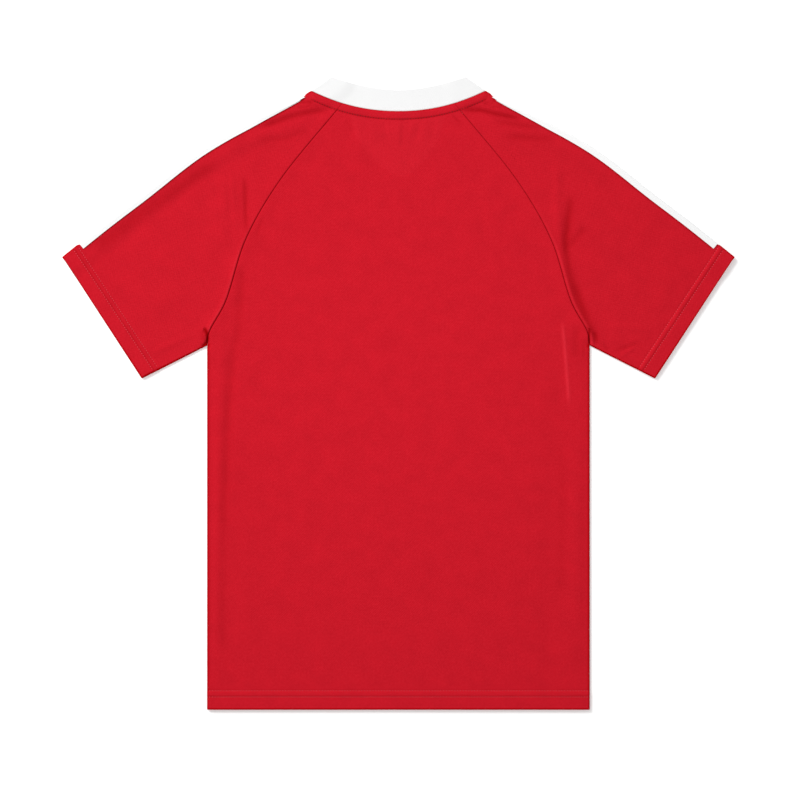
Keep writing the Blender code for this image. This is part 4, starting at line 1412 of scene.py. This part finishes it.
class JerseyFinish(PropertyGroup):
    """Colours of the cloth"""

    team_red: StringProperty(
        name="Team red", description="Body and sleeves, sRGB hex",
        default="#C21826",
    )
    # also the tone of painted glints and of painted highlights on ridges and beside the armholes
    shown_and_highlight_red: StringProperty(
        name="Red over white", description="Where the white collar shows through, sRGB hex",
        default="#DA2A38",
    )
    # painted shade where the cloth turns over an edge and along the neck seam
    edge_shade_red: StringProperty(
        name="Red at edges", description="Where the cloth turns over an edge or a seam, sRGB hex",
        default="#AA0002",
    )
    # painted shade in troughs, seams, stitch rows, under the neckband and beside the tapes
    trough_shade_red: StringProperty(
        name="Red in folds", description="Deep in a fold or a seam, sRGB hex",
        default="#920509",
    )
    # strength of the painted shade in the folds
    fold_shade: FloatProperty(
        name="Fold shade", description="How deep the red gets in the folds",
        default=0.66, min=0.0, max=1.0, subtype="FACTOR",
    )
    thread_red: StringProperty(
        name="Red thread", description="Hem stitches, sRGB hex",
        default="#DA4855",
    )
    # drawn dark, as painted shade of the pinches at each stitch
    neck_thread_red: StringProperty(
        name="Neckband thread", description="Stitches under the neckband, sRGB hex",
        default="#6E0008",
    )
    collar_white: StringProperty(
        name="Collar white", description="Rib collar, sRGB hex",
        default="#EBEBEB",
    )
    tape_white: StringProperty(
        name="Tape white", description="Bands on the shoulders, sRGB hex",
        default="#F5F5F5",
    )
    knit_pitch: FloatProperty(
        name="Knit pitch", description="From one knit stitch to the next, as drawn",
        default=0.0020, unit="LENGTH",
    )
    knit_contrast: FloatProperty(
        name="Knit contrast", description="How strongly the knit shows",
        default=0.007, min=0.0, max=0.2, subtype="FACTOR",
    )


class JerseyStage(PropertyGroup):
    """Table, light and camera"""

    table_white: StringProperty(
        name="Table white", description="Surface it lies on, sRGB hex",
        default="#FCFCFC",
    )
    table_size: FloatProperty(
        name="Table size", description="Side of the table",
        default=8.0, unit="LENGTH",
    )
    camera_height: FloatProperty(
        name="Camera height", description="Over the cloth",
        default=2.5, unit="LENGTH",
    )
    camera_lens: FloatProperty(
        name="Camera lens", description="Focal length in millimetres",
        default=95.5, min=1.0, unit="CAMERA",
    )
    camera_target: FloatVectorProperty(
        name="Camera target", description="Point under the camera",
        size=2, default=(0.00185, -0.0080), unit="LENGTH",
    )
    sky_strength: FloatProperty(
        name="Sky strength", description="Even light from all round",
        default=0.523, min=0.0,
    )
    key_power: FloatProperty(
        name="Key light", description="Power of the soft light at the top left, in watts",
        default=143.7, min=0.0, unit="POWER",
    )
    pool_power: FloatProperty(
        name="Overhead light", description="Power of the soft spot over the middle, in watts",
        default=88.0, min=0.0, unit="POWER",
    )


class JerseyOperator(Operator):
    bl_options = {"REGISTER", "UNDO"}


def material_named(name, make, *values):
    """The material of this name, made from these values the first time that it is asked for."""
    return bpy.data.materials.get(name) or make(name, *values)


def red_knit():
    look = looks()
    reds = (look.team_red, look.shown_and_highlight_red, look.edge_shade_red, look.trough_shade_red)
    return material_named(
        "red_interlock_knit_dyed",
        knit_material,
        *(linear(red) for red in reds),
        look.knit_pitch,
        look.knit_contrast,
    )


def plan_of(points):
    return points[..., :2].reshape(-1, 2)


def show_through(places):
    """1 inside the front neckline, where white shows faintly through the back, and 0 outside."""
    outline = np.array(SHOWN_V)
    lowest = np.interp(places[..., 0], outline[:, 0], outline[:, 1], left=1.0, right=1.0)
    inside = ease((places[..., 1] - lowest) / SHOWN_EDGE + 0.5)
    below_band = neck_depth(half(places), back_neck_height) - NECKBAND_DEPTH
    return inside * ease(below_band / SHOWN_EDGE_AT_NECKBAND)


def painted_edge_shade(places, upper):
    """Painted shade: 1 where the cloth turns over an edge, and 0 off it."""
    flat = half(places)
    lines = (underarm, body_side, top_fold, cuff, hem)
    gap = np.minimum.reduce([line.away(flat)[0] for line in lines])
    mark = 1 - ease((gap - EDGE_PLAIN) / EDGE_REACH)
    if upper:
        at_neck = 1 - ease(back_neck.away(flat)[0] / NECK_EDGE_REACH)
        mark = np.maximum(mark, NECK_EDGE_MARK * at_neck)
    return mark


def painted_trough_shade(places, upper):
    """Painted shade in seams, stitch rows, folds, under the neckband and beside a tape, 0 to 1."""
    flat = half(places)
    gap, share = (back_raglan if upper else front_raglan).away(flat)
    at_underarm, at_neck = (
        np.where(places[..., 0] < 0, *pair) for pair in (SEAM_MARK_AT_UNDERARM, SEAM_MARK_AT_NECK)
    )
    off_band = 1 - SEAM_MARK_LOSS_ON_NECKBAND * neckband_share(flat) if upper else 1.0
    seam = mix(at_underarm, at_neck, ease(share / SEAM_MARK_CHANGE)) * off_band
    seam = seam * (1 - ease(gap / SEAM_MARK_REACH))
    on_sleeve = (flat[..., 1] > UNDERARM_HEIGHT) | (flat[..., 0] > BODY_HALF_WIDTH)
    on_cuff = near(cuff_distance(flat) - CUFF_ROWS[0] - CUFF_MARK_INSET, CUFF_MARK_REACH)
    on_hem = sum(near(flat[..., 1] - row, HEM_MARK_REACH) for row in HEM_ROWS)
    marks = [seam, np.where(on_sleeve, CUFF_MARK * on_cuff, HEM_MARK * on_hem)]
    if upper:
        under_band = neck_depth(flat, back_neck_height) - NECKBAND_DEPTH - NECKBAND_MARK_INSET
        under_band = near(under_band, NECKBAND_MARK_REACH) * (flat[..., 0] < NECK_HALF_WIDTH)
        gap, share = shoulder.away(flat)
        off_tape = gap - BAND_ROOM - band_edges(share * shoulder.length)[0]
        taped = (share * shoulder.length > BAND_START) & (share < 1 - BAND_END / shoulder.length)
        beside_tape = near(off_tape - TAPE_MARK_INSET, TAPE_MARK_REACH) * taped
        marks += [NECKBAND_MARK * under_band, TAPE_MARK * beside_tape, fold_shade(places)]
    return np.clip(np.maximum.reduce(marks), 0.0, 1.0)


def fold_shade(places):
    """Painted shade of the folds, below 0 for a painted highlight on a ridge that catches the
    light.
    """
    return looks().fold_shade * folds_at(FOLDS, places, "shade") + folds_at(TUCKS, places, "shade")


def shown_white_and_highlight(places):
    """Lighter red where white shows through, and painted highlights on ridges and by the armholes.
    """
    flat = half(places)
    gap, share = back_raglan.away(flat)
    across, up = back_raglan.points.T
    off_body = flat[..., 0] > np.interp(flat[..., 1], up, across)
    beside_armhole = 1 - ease((share - BESIDE_ARMHOLE) / GLEAM_FADE)
    beside_seam = GLEAM * (near(gap - GLEAM_INSET, GLEAM_REACH) * beside_armhole) * off_body
    ridges = np.clip(-fold_shade(places), 0.0, 1.0)
    return np.maximum.reduce([SHOWN_SHARE * show_through(places), ridges, beside_seam])


def cloth_marks(places, upper):
    """What the red knit reads of each place on a body panel or a sleeve: its painted shade and
    highlights.
    """
    marks = {"edge": painted_edge_shade(places, upper), "trough": painted_trough_shade(places, upper)}
    return marks | {"light": shown_white_and_highlight(places)} if upper else marks


class JERSEY_OT_body(JerseyOperator):
    """Make the back and the front panel"""

    bl_idname = "jersey.body"
    bl_label = "Body panels"

    def execute(self, context):
        size = cut()
        for node, raglan, height_at, upper, cell in (
            ("front_panel", front_raglan, front_neck_height, False, size.front_cell),
            ("back_panel", back_raglan, back_neck_height, True, size.body_cell),
        ):
            points = body_panel(raglan, height_at, upper, cell)
            pattern = plan_of(points[0]) + np.array([0.0, COLLAR_TOP / 2])
            marks = cloth_marks(pattern, upper)
            piece = cloth_shell(f"{node}_cloth", points, red_knit(), pattern, marks=marks)
            take_place(piece, node)
        return {"FINISHED"}


class JERSEY_OT_sleeves(JerseyOperator):
    """Make the raglan sleeves and the bands on their shoulders"""

    bl_idname = "jersey.sleeves"
    bl_label = "Sleeves and bands"

    def execute(self, context):
        size = cut()
        tape = material_named(
            "white_herringbone_tape_woven", tape_material, linear(looks().tape_white)
        )
        down_sleeve = unit(shoulder.points[0] - np.array(SHOULDER_TIP))
        for name, side in (("left", -1), ("right", 1)):
            points, columns, rows = sleeve(side, size.sleeve_cell)
            axis = down_sleeve * np.array([side, 1.0])
            plan = plan_of(points[0])
            grain = np.stack([plan @ turned(axis), plan @ axis], axis=-1)
            marks = cloth_marks(plan + np.array([0.0, COLLAR_TOP / 2]), True)
            piece = cloth_shell(f"sleeve_{name}_cloth", points, red_knit(), grain, marks=marks)
            take_place(piece, f"sleeve_{name}")

            band = shoulder_band(points, columns, rows)
            across = np.linspace(0.0, BAND_WIDTH, band[0].shape[1])
            along = run_lengths(band[0][:, 0])
            grain = np.stack(np.meshgrid(across, along), axis=-1).reshape(-1, 2)
            piece = cloth_shell(f"shoulder_band_{name}_tape", band, tape, grain)
            take_place(piece, f"shoulder_band_{name}")
        return {"FINISHED"}


class JERSEY_OT_collar(JerseyOperator):
    """Make the ribbed V-neck collar"""

    bl_idname = "jersey.collar"
    bl_label = "Collar"

    def execute(self, context):
        size = cut()
        rib = material_named(
            "white_cotton_rib_bleached", rib_material, linear(looks().collar_white)
        )
        points = collar_ring(size.rib_pitch, size.rib_height)
        outer = points[0]
        around = run_lengths(outer[len(COLLAR_SHARES) // 2])
        across = np.linalg.norm(outer - outer[:1], axis=-1)
        grain = np.stack([np.broadcast_to(around, across.shape), across], axis=-1).reshape(-1, 2)
        piece = cloth_shell("collar_rib", points, rib, grain, ring=True)
        take_place(piece, "collar")
        return {"FINISHED"}


def thread_named(name, colour):
    return material_named(name, thread_material, linear(colour))


def seat(line, upper, width, on_sleeve=False):
    """A line of stitches on a layer's outside, sunk into it by a part of the thread's width."""
    lift = SUNK_IN_UPPER if upper else SUNK_IN_LOWER
    return flat_pairs(line, upper, on_sleeve=on_sleeve)[0] + np.array([0, 0, lift * width])


class JERSEY_OT_sewing(JerseyOperator):
    """Sew the hem, the cuffs and the neckband"""

    bl_idname = "jersey.sewing"
    bl_label = "Stitches"

    def execute(self, context):
        size = cut()
        thread = thread_named("red_spun_polyester_thread", looks().thread_red)
        pitch, length, width = size.stitch_pitch, size.stitch_length, size.thread_width

        hem_x = np.linspace(-HEM_STITCHED, HEM_STITCHED, HEM_GUIDE_POINTS)
        hem_rows = [np.stack([hem_x, np.full_like(hem_x, row)], axis=-1) for row in HEM_ROWS]
        for name, upper in (("hem_back_stitches", True), ("hem_front_stitches", False)):
            lines = [seat(row, upper, width) for row in hem_rows]
            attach(sew(name, lines, thread, pitch, length, width), "root")

        pitch, length = pitch * CUFF_STITCH_SCALE, length * CUFF_STITCH_SCALE
        along = cuff.direction(cuff.length / 2)
        last = cuff.length - CUFF_STITCH_START
        share = np.linspace(CUFF_STITCH_START, last, CUFF_GUIDE_POINTS)[:, None]
        for name, side in (("left", -1), ("right", 1)):
            lines = []
            for row in CUFF_ROWS:
                start = cuff.points[0] + turned(along) * row
                line = (start + along * share) * np.array([side, 1.0])
                lines += [seat(line, upper, width, on_sleeve=True) for upper in (True, False)]
            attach(sew(f"cuff_{name}_stitches", lines, thread, pitch, length, width), "root")

        # the neckband's thread is drawn dark, as painted shade of the pinches at each stitch
        thread_in_shade = thread_named("dark_red_spun_polyester_thread", looks().neck_thread_red)
        across = np.linspace(-NECKBAND_STITCHED, NECKBAND_STITCHED, NECKBAND_GUIDE_POINTS)
        depth = NECKBAND_DEPTH + NECKBAND_STITCH_DROP
        down_to = back_neck_height(across) - depth * steepness(back_neck_height, across)
        line = seat(np.stack([across, down_to], axis=-1), True, width)
        pitch, length = NECKBAND_STITCH
        stitches = sew("neckband_stitches", [line], thread_in_shade, pitch, length, width, lean=np.pi / 2)
        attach(stitches, "root")
        return {"FINISHED"}


class JERSEY_OT_stage(JerseyOperator):
    """Set the table, the light and the camera"""

    bl_idname = "jersey.stage"
    bl_label = "Table, light and camera"

    def execute(self, context):
        scene = context.scene
        view = stage()
        half_side = view.table_size / 2
        table_z = CAD_BOX[0][2] - TABLE_GAP
        corners = [
            (x * half_side, y * half_side, table_z) for x, y in ((-1, -1), (1, -1), (1, 1), (-1, 1))
        ]
        mesh = bpy.data.meshes.new("stage_floor")
        mesh.from_pydata(corners, [], [(0, 1, 2, 3)])
        mesh.materials.append(floor_material("white_matt_painted_table", linear(view.table_white)))
        floor = add_object("stage_floor", mesh)

        world = bpy.data.worlds.new("studio")
        world.use_nodes = True
        sky = world.node_tree.nodes["Background"]
        sky.inputs["Color"].default_value = (1.0, 1.0, 1.0, 1.0)
        sky.inputs["Strength"].default_value = view.sky_strength
        scene.world = world

        light = bpy.data.lights.new("key_softbox", "AREA")
        light.shape = "RECTANGLE"
        light.size, light.size_y = KEY_SIZE, KEY_SIZE
        light.energy = view.key_power
        key = add_object("key_softbox", light)
        key.location = KEY_PLACE
        aim_at(key, (0.0, 0.0, 0.0))

        light = bpy.data.lights.new("overhead_spot", "SPOT")
        light.spot_size, light.spot_blend = radians(POOL_ANGLE), 1.0
        light.shadow_soft_size = POOL_SIZE
        light.energy = view.pool_power
        add_object("overhead_spot", light).location = POOL_PLACE

        lens = bpy.data.cameras.new("camera")
        lens.lens = view.camera_lens
        lens.sensor_width = 36.0
        lens.clip_end = 50.0
        scene.camera = add_object("camera", lens)
        top = CAD_BOX[1][2] * CLOTH_TOP
        scene.camera.location = (*view.camera_target, view.camera_height + top)
        scene.view_settings.view_transform = "Standard"
        return {"FINISHED"}


def aim_at(light, target):
    """Turns a light's face to a point."""
    away = np.array(light.location) - np.array(target)
    reach = np.linalg.norm(away)
    tilt = np.arccos(away[2] / reach)
    light.rotation_euler = (tilt, 0.0, np.arctan2(away[0], -away[1]))


# In the order they run
STEPS = (JERSEY_OT_stage, JERSEY_OT_sewing, JERSEY_OT_body, JERSEY_OT_sleeves, JERSEY_OT_collar)


class JERSEY_PT_panel(Panel):
    """The steps that make the jersey, and the sizes and colours that it is made to"""

    bl_label = "Football Jersey"
    bl_idname = "JERSEY_PT_panel"
    bl_space_type = "VIEW_3D"
    bl_region_type = "UI"
    bl_category = "Jersey"

    def draw(self, context):
        for step in STEPS:
            self.layout.operator(step.bl_idname)
        for group in (cut(), looks(), stage()):
            box = self.layout.box()
            for name in group.bl_rna.properties.keys():
                if name not in ("rna_type", "name"):
                    box.prop(group, name)


CLASSES = (JerseyCut, JerseyFinish, JerseyStage, *STEPS, JERSEY_PT_panel)


def register():
    for cls in CLASSES:
        register_class(cls)
    bpy.types.Scene.jersey_cut = PointerProperty(type=JerseyCut)
    bpy.types.Scene.jersey_finish = PointerProperty(type=JerseyFinish)
    bpy.types.Scene.jersey_stage = PointerProperty(type=JerseyStage)


def unregister():
    del bpy.types.Scene.jersey_cut
    del bpy.types.Scene.jersey_finish
    del bpy.types.Scene.jersey_stage
    for cls in reversed(CLASSES):
        unregister_class(cls)


def main():
    register()
    bpy.ops.jersey.stage()
    bpy.ops.jersey.sewing()
    bpy.ops.jersey.body()
    bpy.ops.jersey.sleeves()
    bpy.ops.jersey.collar()


if __name__ == "__main__":
    main()
